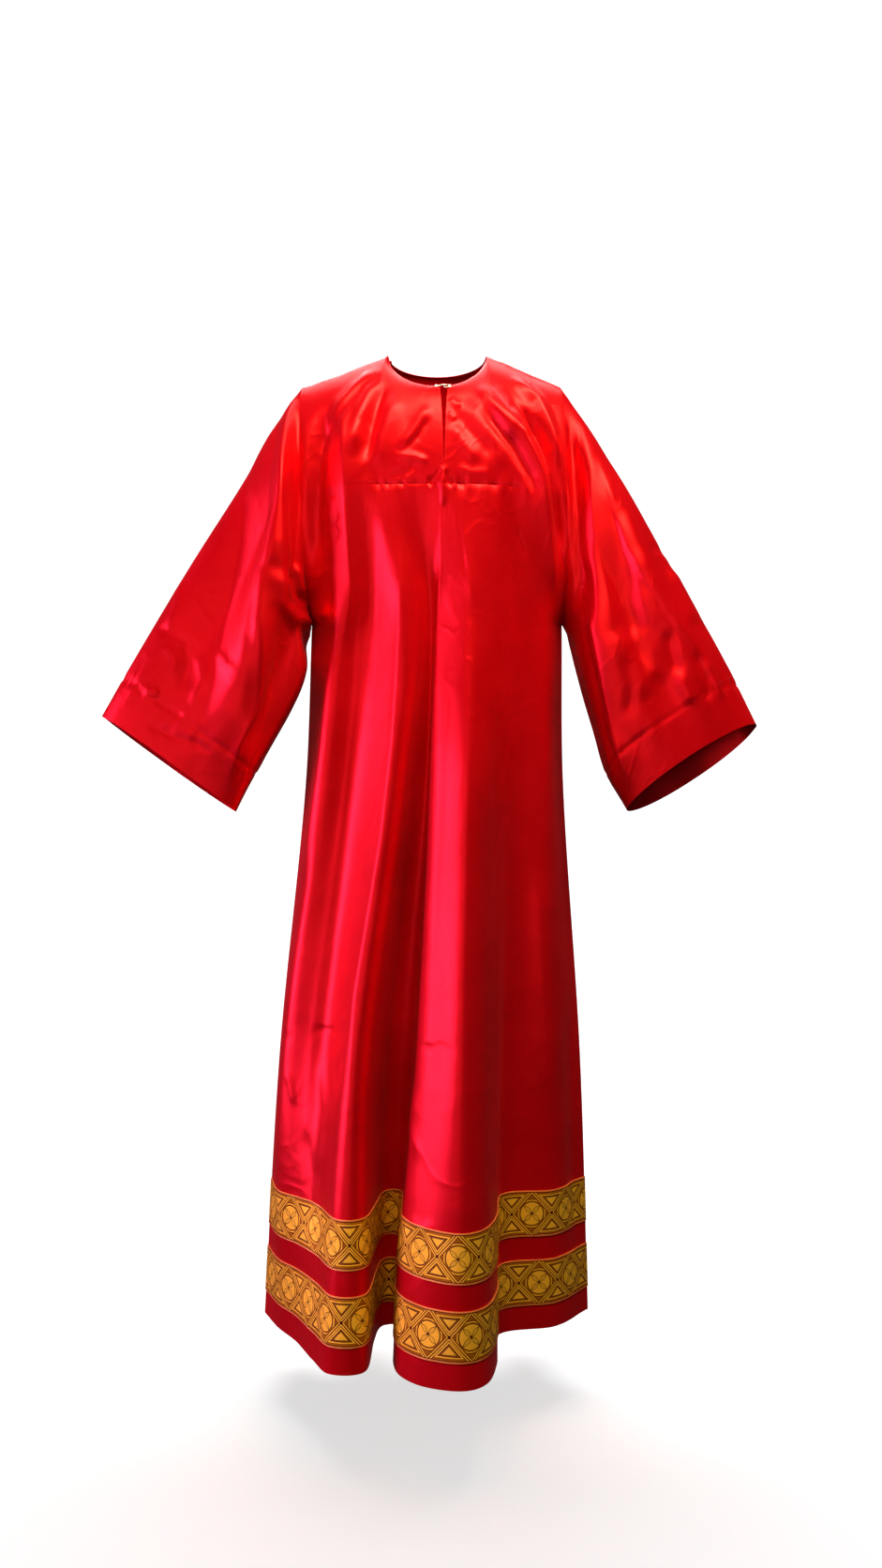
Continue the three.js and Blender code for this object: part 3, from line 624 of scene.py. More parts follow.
def two_tones(tree, share, *stops):
    """A colour that runs between two stops, each a position and a colour."""
    ramp = node(tree, "ShaderNodeValToRGB", Fac=share)
    for element, (position, colour) in zip(ramp.color_ramp.elements, stops):
        element.position = position
        element.color = colour
    return ramp.outputs["Color"]


def mottle(tree, place, per_metre, detail, **values):
    """Noise with so many patches in a metre."""
    return node(tree, "ShaderNodeTexNoise", Vector=place, Scale=per_metre, Detail=detail,
                **values).outputs["Fac"]


def ribs_of(tree, place, scale, distortion, detail):
    """Fine ribs side by side along the cloth."""
    return node(tree, "ShaderNodeTexWave", wave_type="BANDS", bands_direction="X", Vector=place,
                Scale=scale, Distortion=distortion, Detail=detail).outputs["Fac"]


def relief(tree, height, strength, distance, **below):
    """Low relief, on top of another one where `Normal` is given."""
    return node(tree, "ShaderNodeBump", Height=height, Strength=strength, Distance=distance,
                **below).outputs["Normal"]


# %% The satin's finish
CRINKLES_PER_METRE = 11.0
CRINKLE_DEPTH = 0.0012
CRINKLE_SHARPNESS = 14.0


def satin_finish():
    finish, tree, shader = new_finish(
        "red_satin", Roughness=0.33, Metallic=0.55, Specular_IOR_Level=0.5,
        Specular_Tint=(1.0, 0.33, 0.33, 1), Anisotropic=0.6, Sheen_Weight=0.04, Sheen_Roughness=0.4,
        Sheen_Tint=(1.0, 0.12, 0.2, 1))
    m = Sums(tree)
    place = node(tree, "ShaderNodeUVMap", uv_map="cloth").outputs["UV"]
    tangent = node(tree, "ShaderNodeTangent", direction_type="UV_MAP", uv_map="cloth")
    tree.links.new(tangent.outputs["Tangent"], shader.inputs["Tangent"])
    tone = two_tones(tree, mottle(tree, place, 9.0, 3.0),
                     (0.3, (0.54, 0.0, 0.004, 1)), (0.7, (0.66, 0.002, 0.008, 1)))
    tree.links.new(tone, shader.inputs["Base Color"])
    # Crinkles run where a slow noise passes its middle, in patches that a second noise picks.
    from_middle = m.absolute(m.subtract(mottle(tree, place, CRINKLES_PER_METRE, 2.0, Distortion=0.5), 0.5))
    line = m.smooth_max(m.subtract(1.0, m.multiply(from_middle, CRINKLE_SHARPNESS)), 0.0, 0.3)
    crinkles = relief(tree, m.multiply(line, mottle(tree, place, 3.0, 1.0)), 0.35, CRINKLE_DEPTH)
    threads = m.add(ribs_of(tree, place, 1100.0, 0.6, 1.0), mottle(tree, place, 420.0, 2.0))
    tree.links.new(relief(tree, threads, 0.12, 0.0002, Normal=crinkles), shader.inputs["Normal"])
    return finish


satin = satin_finish()

# %% [markdown]
# ## The front and its yoke
# The upper front is plain and round at the neck, and the skirt hangs from a stitched line across the
# chest. Both are laid out as one grid, so that every fold crosses the seam, and the grid is parted there.

# %% Folds and creases of the front
FRONT_CREASES = [
    # path of (x, z) points, width, rise, and PRESSED where it has a sharp top
    ([(-130, -392), (-139, -470), (-152, -600), (-176, -760)], 9, 6.0, PRESSED),
    # The pressed edge that runs from the foot of the slit to the hem, and the deep valley beside it.
    ([(16, -130), (15, -215), (14, -319), (7, -520), (-2, -768), (-14, -992), (-28, -1146), (-57, -1363),
      (-90, -1640)], 6, 5.0, PRESSED),
    ([(-8, -560), (-26, -760), (-46, -1000), (-58, -1200), (-62, -1378), (-70, -1700)], 13, -10.0),
    ([(30, -215), (50, -313), (58, -380)], 6, 2.6),
    ([(33, -225), (44, -290), (50, -345)], 4, -2.2),
    ([(118, -262), (126, -284), (133, -304)], 3, -1.6),
    ([(-143, -216), (-136, -219), (-128, -217)], 2.5, -1.6),
    ([(-134, -236), (-128, -246), (-135, -256), (-127, -268), (-132, -282)], 3.5, -2.4),
    ([(-42, -226), (-40, -330), (-42, -420), (-50, -560), (-66, -700), (-100, -900), (-112, -1080)],
     6, 4.0, PRESSED),
    ([(-84, -216), (-80, -300), (-82, -420)], 10, -3.0),
    ([(100, -180), (112, -300), (122, -430)], 12, -2.5),
    ([(-213, -966), (-190, -968)], 3, -1.8),
    ([(-170, -958), (-140, -952), (-118, -960)], 3, -2.2),
    ([(-118, -975), (-124, -1000), (-120, -1020)], 4, -1.8),
    ([(-16, -955), (-2, -960), (12, -955), (40, -958)], 3, -2.2),
    ([(-150, -985), (-142, -1060), (-152, -1150)], 7, 2.6),
    ([(-176, -1080), (-164, -1150), (-168, -1230)], 8, -2.0),
    ([(-204, -1010), (-196, -1030), (-190, -1060)], 4, 1.6),
    ([(-16, -1010), (-22, -1060), (-14, -1110)], 5, 1.5),
    ([(-8, -880), (10, -890), (28, -872)], 6, 1.2),
    ([(-28, -1180), (-10, -1190), (4, -1175)], 5, 1.3),
    ([(150, -700), (158, -900), (170, -1100)], 14, 4.0),
    ([(196, -900), (204, -1100), (212, -1300)], 12, -4.0),
]
YOKE_CREASES = [
    # The cloth is drawn from the neck over the shoulders in long arcs.
    ([(-70, -30), (-104, -62), (-128, -92), (-140, -112), (-146, -128)], 9, 6.0),
    ([(-126, -80), (-146, -112), (-157, -160), (-161, -250), (-158, -330)], 13, -12.0),
    ([(-72, -44), (-84, -70), (-97, -115), (-108, -170)], 10, 5.5),
    ([(-60, -52), (-74, -92), (-84, -132), (-90, -180)], 9, -5.0),
    ([(-46, -72), (-58, -112), (-70, -150), (-76, -190)], 12, 4.0),
    ([(-2, -92), (-20, -126), (-44, -160)], 8, 3.0),
    ([(-2, -112), (-18, -140), (-38, -160)], 4, -2.0),
    ([(-50, -166), (-24, -168), (0, -176)], 5, 2.6),
    # On the wearer's left a ridge, a deep hollow and a second ridge run side by side to the armhole.
    ([(104, -84), (131, -103), (157, -148), (171, -200), (179, -256), (182, -320)], 9, -12.0),
    ([(66, -86), (84, -114), (112, -150), (136, -190), (146, -230)], 8, -7.5),
    ([(64, -58), (78, -84), (98, -116), (116, -146)], 9, 4.5),
    ([(46, -82), (66, -118), (86, -150), (100, -190)], 13, 4.0),
    ([(30, -96), (50, -126), (74, -150), (90, -176)], 9, -3.0),
    ([(28, -120), (44, -150), (66, -176)], 8, 2.4),
    ([(112, -92), (128, -118), (134, -140)], 7, 4.0),
    ([(26, -84), (34, -92), (44, -94)], 5, 1.8),
    ([(24, -104), (30, -112), (36, -114)], 4, 1.6),
    ([(-16, -176), (-34, -190), (-60, -196)], 5, -1.8),
    ([(34, -182), (56, -190), (84, -188)], 5, 1.8),
    ([(19, -186), (24, -200), (34, -206)], 4, -2.6),
    ([(15, -186), (6, -198), (-6, -204)], 4, -2.6),
    ([(17, -178), (17, -210), (16, -240)], 4, 4.0, PRESSED),
]
BODY_FOLDS = [
    # path of (x, z) points, width on the left, width on the right, rise
    ([(-92, -50), (-104, -84), (-118, -116), (-118, -155), (-115, -230), (-112, -335), (-122, -440)],
     25, 42, 14),
    ([(60, -50), (87, -75), (104, -105), (133, -146), (152, -187), (159, -239), (167, -310), (176, -400)],
     40, 20, 13),
    ([(111, -40), (150, -77), (168, -125), (178, -180)], 14, 12, 7),
]

# %% [markdown]
# The chest seam takes in a little more skirt than yoke, so the cloth gathers in small puckers beside it.
# They are strongest in the middle, and die away within a few centimetres.

# %% Puckers along the chest seam
PUCKER_PLACES = [-100, -70, 110, 140]   # x, with the share of the full puckers at each
PUCKER_SHARES = [0.08, 1, 1, 0.08]
PUCKER_FADE = 10
SEAM_DIP = 0.8
SEAM_DIP_WIDTH = 2.2


def chest_puckers(rows, seam_rows, seed):
    """Small gathers along the chest seam, dying away from it, and the dip of the seam itself."""
    x = rows[..., 0]
    far = np.abs(rows[..., 2] - seam_rows)
    stitched = np.interp(x, PUCKER_PLACES, PUCKER_SHARES)
    ripple = soft_noise(x / 6.5, far / 30, seed) * 2.1 + soft_noise(x / 17, far / 60, seed + 1) * 2.2
    dip = SEAM_DIP * np.exp(-(far / SEAM_DIP_WIDTH) ** 2)
    return stitched * (ripple * np.exp(-far / PUCKER_FADE) - dip)


# %% The grid of the whole front
BODY_COLUMNS = 200
YOKE_ROWS = 64
FINE_TO_Z = -420   # the rows stand closer together down to here
body_shares = np.linspace(0, 1, BODY_COLUMNS + 1)
body_heights = np.concatenate([np.linspace(CHEST_Z, FINE_TO_Z, 52)[1:],
                               np.linspace(FINE_TO_Z, HEM_Z, 168)[1:]])
body_rows = np.concatenate([shoulders(1, body_shares, np.linspace(0, 90, YOKE_ROWS + 1)),
                            skirt(FRONT_FOLDS, 1, body_shares, body_heights)])
print("front grid", body_rows.shape[:2])

# %% [markdown]
# The columns near the slit are drawn in to its edges, which lean together towards its foot, and let go
# below it. The rows beside the chest seam are eased, so that the cloth bends softly there.

# %% The slit's edges and the bend at the chest
SLIT_DRAWN_COLUMNS = 26
SLIT_FREE_Z = -340
SLIT_EASE = 110
SLIT_TAPER = 0.7
SLIT_FOOT_HALF = 0.15
EASED_ROWS = 8
EASING_TURNS = 16

slit_columns = [round(share * BODY_COLUMNS) for share in SLIT_SHARES]
slit_middle = (slit_columns[0] + slit_columns[1]) // 2
for row in body_rows:
    z = row[slit_middle, 2]
    held = np.clip((z - SLIT_FREE_Z) / SLIT_EASE, 0, 1)
    down = np.clip((z + NECK_FRONT_DROP) / (SLIT_FOOT_Z + NECK_FRONT_DROP), 0, 1)
    half = mix(SLIT_WIDTH_TOP / 2, SLIT_FOOT_HALF, down ** SLIT_TAPER)
    for column, x, side in ((slit_middle, SLIT_X - half, -1), (slit_middle + 1, SLIT_X + half, 1)):
        shift = (x - row[column, 0]) * held
        for step in range(SLIT_DRAWN_COLUMNS):
            row[column + side * step, 0] += shift * (1 - step / SLIT_DRAWN_COLUMNS) ** 2

near_seam = np.arange(YOKE_ROWS - EASED_ROWS, YOKE_ROWS + EASED_ROWS + 1)
for turn in range(EASING_TURNS):
    body_rows[near_seam, 1:-1] = (body_rows[near_seam - 1, 1:-1] + 2 * body_rows[near_seam, 1:-1]
                                  + body_rows[near_seam + 1, 1:-1]) / 4

# %% The front
push = (chest_puckers(body_rows, chest(body_shares, 1)[:, 2][None], 11)
        + unevenness(body_rows, 3, size=0.9)
        + pushed_by(body_rows, FRONT_CREASES + YOKE_CREASES, BODY_FOLDS))
body_points = pushed_out(body_rows, push, neck_rows=9)
yoke_points = body_points[: YOKE_ROWS + 1]
front_points = body_points[YOKE_ROWS:]
front_cloth = cloth_piece("front_cloth", front_points, satin)
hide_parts("front")
print("front", round(cloth_area(front_points), 3), "square metres")

# %% [markdown]
# The slit is a real opening. The faces between its two columns are deleted, down to its foot.

# %% The yoke
yoke_cloth = cloth_piece("yoke_cloth", yoke_points, satin)
opened = bmesh.new()
opened.from_mesh(yoke_cloth.data)
slit_faces = []
for face in opened.faces:
    middle = face.calc_center_median() / MM
    if abs(middle.x - SLIT_X) < SLIT_WIDTH_TOP / 2 and middle.z > SLIT_FOOT_Z:
        corners = sorted(vert.co.x / MM for vert in face.verts)
        if corners[0] < SLIT_X < corners[-1]:
            slit_faces.append(face)
bmesh.ops.delete(opened, geom=slit_faces, context="FACES")
sharpen_edges(opened)
opened.to_mesh(yoke_cloth.data)
opened.free()
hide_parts("front_yoke")
print("slit", len(slit_faces), "faces opened; yoke", round(cloth_area(yoke_points), 3), "square metres")

# %% [markdown]
# ## The back
# The back is one panel from the shoulders to the hem, with softer folds.

# %% The back
BACK_COLUMNS = 170
BACK_SHOULDER_ROWS = 44
BACK_SKIRT_ROWS = 190
back_shares = np.linspace(0, 1, BACK_COLUMNS + 1)
upper_back = shoulders(-1, back_shares, np.linspace(0, 90, BACK_SHOULDER_ROWS + 1))[:-1]
lower_back = skirt(BACK_FOLDS, -1, back_shares, np.linspace(CHEST_Z, HEM_Z, BACK_SKIRT_ROWS + 1))
back_rows = np.concatenate([upper_back, lower_back])[:, ::-1]
BACK_CREASES = [
    ([(-120, -110), (-132, -200), (-140, -330)], 14, 5.0),
    ([(118, -110), (136, -200), (150, -330)], 14, 5.0),
    ([(-60, -200), (-66, -420), (-80, -700)], 14, 3.5),
    ([(62, -220), (58, -420), (60, -650)], 14, -3.5),
    ([(-20, -250), (-14, -450), (-22, -700)], 12, 3.0),
    ([(20, -900), (90, -1010)], 4, -1.5),
]
push = unevenness(back_rows, 31) + pushed_by(back_rows, BACK_CREASES)
back_points = pushed_out(back_rows, push, neck_rows=8)
back_cloth = cloth_piece("back_cloth", back_points, satin)
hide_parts("back")
print("back", round(cloth_area(back_points), 3), "square metres")

# %% [markdown]
# ## The sleeves
# Each sleeve is a wide flattened tube from the armhole to the cuff. A row of the table is a section:
# how far along it is, its outer and inner points (x, z), the depth of its middle, its half thickness
# and how far its front lies above its back.

# %% Sections and folds of the sleeves
SLEEVE_SECTIONS = {
    -1: [
        (0.0, (-184, -44), (-172, -385), 2, 60, 0),
        (0.1, (-214, -92), (-182, -404), 8, 62, 0),
        (0.35, (-264, -184), (-178, -450), 20, 60, 0),
        (0.65, (-342, -312), (-201, -516), 32, 52, 2),
        (0.86, (-412, -434), (-246, -598), 44, 42, 5),
        (1.0, (-460, -520), (-273, -653), 50, 34, 8),
    ],
    1: [
        (0.0, (184, -44), (188, -385), 2, 60, 0),
        (0.1, (216, -95), (200, -406), 8, 62, 0),
        (0.35, (270, -189), (211, -456), 26, 58, 4),
        (0.65, (344, -325), (231, -534), 42, 50, 10),
        (0.86, (412, -450), (250, -604), 54, 44, 18),
        (1.0, (452, -536), (273, -648), 60, 40, 23),
    ],
}
SLEEVE_FOLDS = {
    # turn round the sleeve in degrees, then where it starts, is deepest and ends, half width, rise
    -1: [
        (72, 0.1, 0.55, 1.1, 22, -7),
        (106, 0.05, 0.5, 1.1, 20, 12),
        (134, 0.1, 0.5, 1.05, 18, -12),
        (160, -0.1, 0.3, 0.75, 20, 9),
        (250, 0.1, 0.6, 1.1, 28, -11),
        (300, 0.1, 0.5, 1.1, 24, 7),
    ],
    1: [
        (62, 0.05, 0.5, 1.1, 18, 8),
        (88, 0.1, 0.5, 1.1, 18, -11),
        (114, 0.1, 0.55, 1.1, 18, 9),
        (240, 0.1, 0.6, 1.1, 28, -11),
        (292, 0.1, 0.5, 1.1, 24, 7),
    ],
}
SLEEVE_BROAD_FOLDS = {
    # path of (x, z) points, width on the left, width on the right, rise
    -1: [
        # The broad lit plane, which climbs to a crest, and the narrow roll beside the armhole.
        ([(-196, -80), (-203, -130), (-206, -200), (-214, -289), (-226, -354), (-236, -419), (-247, -485),
          (-264, -549), (-288, -650)], 50, 24, 27),
        ([(-195, -50), (-199, -133), (-205, -223), (-210, -309), (-200, -378)], 14, 12, 10),
    ],
    1: [
        # The long pressed edge with a smooth plane beyond it, and the roll beside the armhole.
        ([(232, -150), (241, -190), (253, -232), (270, -292), (304, -345), (338, -396), (362, -428),
          (404, -480)], 6, 60, 4),
        ([(204, -70), (214, -130), (223, -180), (223, -230), (230, -310), (246, -376), (254, -440)],
         17, 30, 5.5),
        ([(214, -330), (226, -400), (240, -470), (254, -545), (274, -632)], 10, 26, 8),
        ([(274, -290), (284, -340), (296, -372), (310, -410)], 22, 26, 3),
    ],
}
SLEEVE_CREASES = {
    -1: [
        ([(-190, -90), (-193, -150), (-196, -230), (-198, -320)], 7, -4.0),
        ([(-226, -330), (-240, -400), (-246, -450), (-262, -540)], 7, -3.5),
        # The pouch under the arm.
        ([(-208, -320), (-206, -366), (-190, -384), (-160, -380)], 10, 9.0),
        ([(-188, -306), (-184, -334), (-180, -356)], 6, 5.0),
        ([(-196, -316), (-190, -345), (-174, -362)], 6, -4.0),
        # Small puddles of cloth above the hem of the cuff, and a pressed line across.
        ([(-345, -330), (-356, -380), (-370, -400)], 8, 1.8),
        ([(-372, -420), (-352, -440), (-360, -470)], 6, 2.2),
        ([(-340, -410), (-332, -450), (-346, -486)], 7, -2.2),
        ([(-320, -430), (-312, -470), (-330, -510)], 7, 2.0),
        ([(-290, -430), (-280, -452), (-262, -458)], 6, 2.0),
        ([(-384, -396), (-352, -410), (-320, -424)], 3, -1.6),
        ([(-398, -526), (-358, -547), (-297, -568)], 4, -2.2, PRESSED),
        ([(-225, -480), (-240, -540), (-262, -600)], 9, 2.5),
        ([(-404, -478), (-384, -490), (-372, -486)], 5, 2.0),
    ],
    1: [
        ([(193, -90), (198, -150), (202, -240), (204, -330), (206, -400)], 10, -9.0),
        ([(212, -300), (216, -350), (222, -400)], 8, -5.0),
        ([(246, -210), (258, -270), (272, -320), (290, -370)], 14, -5.0),
        # Blistered cloth above the hem of the cuff.
        ([(250, -400), (262, -440), (280, -470), (300, -500)], 15, 5.0),
        ([(282, -392), (300, -430), (310, -480)], 12, 4.5),
        ([(262, -430), (276, -480), (268, -530)], 9, -3.0),
        ([(322, -400), (330, -440), (344, -476)], 9, -4.5),
        ([(334, -450), (346, -480), (360, -510)], 9, 4.5),
        ([(330, -310), (346, -350), (366, -400)], 12, 3.5),
        ([(372, -440), (390, -474), (398, -500)], 5, 3.0),
        ([(358, -430), (376, -470), (380, -506)], 5, -3.0),
        ([(300, -286), (324, -290), (336, -282)], 7, -2.0),
    ],
}

# %% Rings of points along a sleeve
def falling_bump(t):
    return np.maximum(0, 1 - t * t) ** 2


def sleeve_rows(side, turns, alongs):
    """Rings of points, one row a ring, with `turns` in degrees from the top over the front."""
    sections = SLEEVE_SECTIONS[side]
    knots = [section[0] for section in sections]
    outer = smooth_through(knots, [section[1] for section in sections], alongs)
    inner = smooth_through(knots, [section[2] for section in sections], alongs)
    depth, half, lift = smooth_through(knots, [section[3:] for section in sections], alongs).T
    upwards = np.cos(np.radians(turns))[None]
    inwards = (1 - upwards) / 2
    forward = np.sin(np.radians(turns))[None]
    flatness = mix(1.0, 0.72, np.clip(alongs / 0.3, 0, 1))[:, None]
    x = mix(outer[:, 0:1], inner[:, 0:1], inwards)
    z = mix(outer[:, 1:2], inner[:, 1:2], inwards) + lift[:, None] * forward
    y = -(depth[:, None] + half[:, None] * np.sign(forward) * np.abs(forward) ** flatness)
    rows = np.stack([x, y, z], -1)
    away = (outer - inner) / np.linalg.norm(outer - inner, axis=1, keepdims=True)
    out = np.stack([away[:, 0:1] * upwards, -forward + 0 * x, away[:, 1:2] * upwards], -1)
    for turn, start, peak, end, width, rise in SLEEVE_FOLDS[side]:
        span = np.where(alongs < peak, peak - start, end - peak)
        size = rise * falling_bump((turns[None] - turn) / (width * 1.6))
        size = size * (falling_bump((alongs - peak) / span) * np.minimum(1, alongs / 0.125))[:, None]
        rows = rows + out * size[..., None]
    seam = np.where((turns > 180)[:, None], armhole(side, 360 - turns, -1), armhole(side, turns, 1))
    blend = (np.clip(1 - alongs / 0.07, 0, 1) ** 2)[:, None, None]
    return rows + (seam[None] - rows[0:1]) * blend


# %% Folds, creases and ripples of a sleeve
SLEEVE_COLUMNS = 168
SLEEVE_ROWS = 132
SEAM_COLUMNS = 6      # beside the underarm seam, where the cloth is held smooth
RIPPLE_RISE = 2.0
RIPPLE_FADE = 14
HEM_DIP = 1.2
HEM_DIP_WIDTH = 3


def sleeve_push(side, rows, turns):
    """How far the cloth of a sleeve is pushed out. Its back is softer, with its folds a little aside."""
    front_half, back_half = [np.clip(facing * np.sin(np.radians(turns)) * 4, 0, 1)[None]
                             for facing in (1, -1)]
    creases, folds = SLEEVE_CREASES[side], SLEEVE_BROAD_FOLDS[side]
    behind = [(np.add(path, (8, -14)), width * 1.2, rise * 0.8) for path, width, rise, *_ in creases]
    folds_behind = [(np.add(path, (-20, -10)), left, right, rise * 0.6)
                    for path, left, right, rise in folds]
    push = pushed_by(rows, creases, folds) * front_half + pushed_by(rows, behind, folds_behind) * back_half

    # Uneven cloth all over, a ripple above the hem of the cuff, and a dip along its stitches.
    columns = np.arange(rows.shape[1])
    free = np.clip(np.minimum(columns, columns[-1] - columns) / SEAM_COLUMNS, 0, 1)[None]
    steps = np.linalg.norm(np.diff(rows, axis=0), axis=-1)[::-1].cumsum(axis=0)[::-1]
    to_cuff = np.concatenate([steps, np.zeros((1, len(columns)))])
    from_hem = np.abs(to_cuff - CUFF_HEM)
    ripple = soft_noise(columns[None] / 2.3 + 0 * to_cuff, to_cuff / 40, 61 + side)
    rough = (unevenness(rows, 41 + side, 55, 150, 1.0)
             + RIPPLE_RISE * ripple * np.exp(-from_hem / RIPPLE_FADE))
    return push + rough * free - HEM_DIP * np.exp(-(from_hem / HEM_DIP_WIDTH) ** 2)


# %% The sleeves
sleeve_points = {}
alongs = np.linspace(0, 1, SLEEVE_ROWS + 1)
armhole_hold = np.clip(alongs / HELD_SHARE, 0, 1)[:, None]
for side, name in ((-1, "sleeve_right"), (1, "sleeve_left")):
    turns = np.linspace(0, 360, SLEEVE_COLUMNS + 1)
    rows = sleeve_rows(side, turns, alongs)
    if side > 0:
        rows, turns = rows[:, ::-1], turns[::-1]
    push = sleeve_push(side, rows, turns) * armhole_hold
    points = rows + normals_of(rows, closed=True) * push[..., None]
    cloth = cloth_piece(f"{name}_cloth", points, satin, closed=True)
    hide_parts(name)
    sleeve_points[side] = points
    print(name, round(cloth_area(points), 3), "square metres")

# %% [markdown]
# ## The galloon
# Two rows of woven gold band run round the skirt. Each strip takes its points from the cloth under it.
# Its figure is a common one in church galloon: circles in lozenges, with crossed straps between them
# and nested triangles above and below each crossing. The pattern is sums on the strip's own UV map,
# in millimetres along and across the band, so it bends with the cloth and repeats without an image.
# Each shape becomes a distance, and each line of the weave is a narrow band of that distance.

# %% The galloon's figure
REPEAT_MM = 57.5
HALF_REPEAT = REPEAT_MM / 2
HALF_BAND = GALLOON_WIDTH / 2
LOZENGE_SLOPE = 1 / math.hypot(1 / HALF_REPEAT, 1 / HALF_BAND)
CIRCLE_RADIUS = 16.4


def galloon_figure(m, place):
    """Sockets that are 1 on the dark lines, on the light ones and on the cords at the edges."""
    apart = node(m.tree, "ShaderNodeSeparateXYZ", Vector=place)
    along = m.multiply(apart.outputs["X"], 1000.0)
    across = m.add(m.multiply(apart.outputs["Y"], 1000.0), HALF_BAND)
    x = m.subtract(m.modulo(m.add(along, 100 * REPEAT_MM), REPEAT_MM), HALF_REPEAT)
    side = m.absolute(x)
    up = m.absolute(across)
    radius = m.sqrt(m.add(m.multiply(x, x), m.multiply(across, across)))
    beyond = m.subtract(m.add(m.divide(side, HALF_REPEAT), m.divide(up, HALF_BAND)), 1.0)
    strap = m.multiply(beyond, LOZENGE_SLOPE)

    # The crossed straps: two light lines on each side of a dark one, between dark borders.
    near_strap = m.absolute(strap)
    light = m.line(near_strap, 1.55, 1.35)
    dark = m.maximum(m.line(near_strap, 0.0, 0.9), m.line(near_strap, 2.8, 0.8))

    # The nested triangles, inside the space above and below each crossing.
    triangle = m.minimum(strap, m.subtract(HALF_BAND - 2.6, up))
    above = m.greater_than(strap, 3.0)
    light = m.maximum(light, m.multiply(m.line(triangle, 4.1, 1.5), above))
    light = m.maximum(light, m.multiply(m.smooth_step(7.5, 7.9, triangle), above))
    dark = m.maximum(dark, m.multiply(m.line(triangle, 5.6, 1.0), above))
    dark = m.maximum(dark, m.multiply(m.line(triangle, 7.2, 0.7), above))

    # The circle: its rim, and four bright petals parted by a cross of pointed leaves.
    outside = m.greater_than(radius, CIRCLE_RADIUS)
    inside = m.subtract(1.0, outside)
    slant = math.sqrt(0.5)
    first = m.absolute(m.multiply(m.add(x, across), slant))
    second = m.absolute(m.multiply(m.subtract(x, across), slant))
    run = m.maximum(first, second)
    off = m.minimum(first, second)
    leaf = m.multiply(m.sine(m.multiply(run, math.pi / (CIRCLE_RADIUS - 0.6))), 2.5)
    leaves = m.maximum(m.line(m.subtract(off, leaf), 0.0, 0.75), m.line(off, 0.0, 0.3))
    heart = m.subtract(1.0, m.smooth_step(1.5, 2.1, radius))
    rim = m.line(radius, CIRCLE_RADIUS, 1.1)
    dark = m.multiply(dark, outside)
    dark = m.maximum(dark, m.maximum(rim, m.multiply(m.maximum(leaves, heart), inside)))
    light = m.maximum(m.multiply(light, outside), inside)

    # Arcs that echo the circle in the lozenge's two side corners, and a knot at each crossing.
    corner = m.multiply(m.less_than(strap, -4.2), outside)
    light = m.maximum(light, m.multiply(m.line(radius, CIRCLE_RADIUS + 2.3, 1.4), corner))
    dark = m.maximum(dark, m.multiply(m.line(radius, CIRCLE_RADIUS + 3.9, 0.9), corner))
    to_crossing = m.subtract(side, HALF_REPEAT)
    knot = m.sqrt(m.add(m.multiply(to_crossing, to_crossing), m.multiply(across, across)))
    dark = m.maximum(dark, m.subtract(1.0, m.smooth_step(1.9, 2.5, knot)))

    # Selvedges: a dark line inside a light cord.
    within = m.less_than(up, HALF_BAND - 2.6)
    dark = m.maximum(m.multiply(dark, within), m.line(up, HALF_BAND - 2.4, 1.0))
    cord = m.smooth_step(HALF_BAND - 1.9, HALF_BAND - 1.6, up)
    return dark, m.multiply(light, within), cord


# %% [markdown]
# Real galloon is woven from gilt thread over a brown ground. The dark lines are where the ground shows,
# sunk a little below the gold, and fine ribs of thread run across the band.

# %% The galloon's finish
def galloon_finish():
    finish, tree, shader = new_finish("gold_galloon", Roughness=0.42, Specular_IOR_Level=0.25,
                                      Specular_Tint=(1.0, 0.7, 0.35, 1))
    m = Sums(tree)
    place = node(tree, "ShaderNodeUVMap", uv_map="cloth").outputs["UV"]
    dark, light, cord = galloon_figure(m, place)
    ribs = ribs_of(tree, place, 520.0, 1.2, 2.0)
    grain = mottle(tree, place, 900.0, 3.0)
    ground = two_tones(tree, m.multiply(m.add(ribs, grain), 0.5),
                       (0.25, (0.24, 0.060, 0.002, 1)), (0.75, (0.54, 0.21, 0.006, 1)))
    gilded = colour_mix(tree, light, ground, (1.0, 0.58, 0.035, 1))
    corded = colour_mix(tree, cord, gilded, (0.80, 0.38, 0.08, 1))
    figured = colour_mix(tree, dark, corded, (0.04, 0.004, 0.001, 1))
    tree.links.new(figured, shader.inputs["Base Color"])
    tree.links.new(m.subtract(0.5, m.multiply(dark, 0.45)), shader.inputs["Metallic"])
    height = m.add(m.add(m.multiply(m.subtract(1.0, dark), 0.7), m.multiply(light, 0.3)),
                   m.multiply(ribs, 0.3))
    tree.links.new(relief(tree, height, 0.7, 0.0004), shader.inputs["Normal"])
    return finish


galloon = galloon_finish()

# %% [markdown]
# A strip lies on the cloth, just clear of it, so that it follows every fold and never sinks in. It is
# made by the same helper as the cloth, from rows of points between two heights above the hem.

# %% The strips
GALLOON_MM = 0.9
GALLOON_LIFT = 0.3
GALLOON_STRIPS = [("lower", HEM_TO_GALLOON), ("upper", HEM_TO_GALLOON + GALLOON_WIDTH + GALLOON_SPACING)]


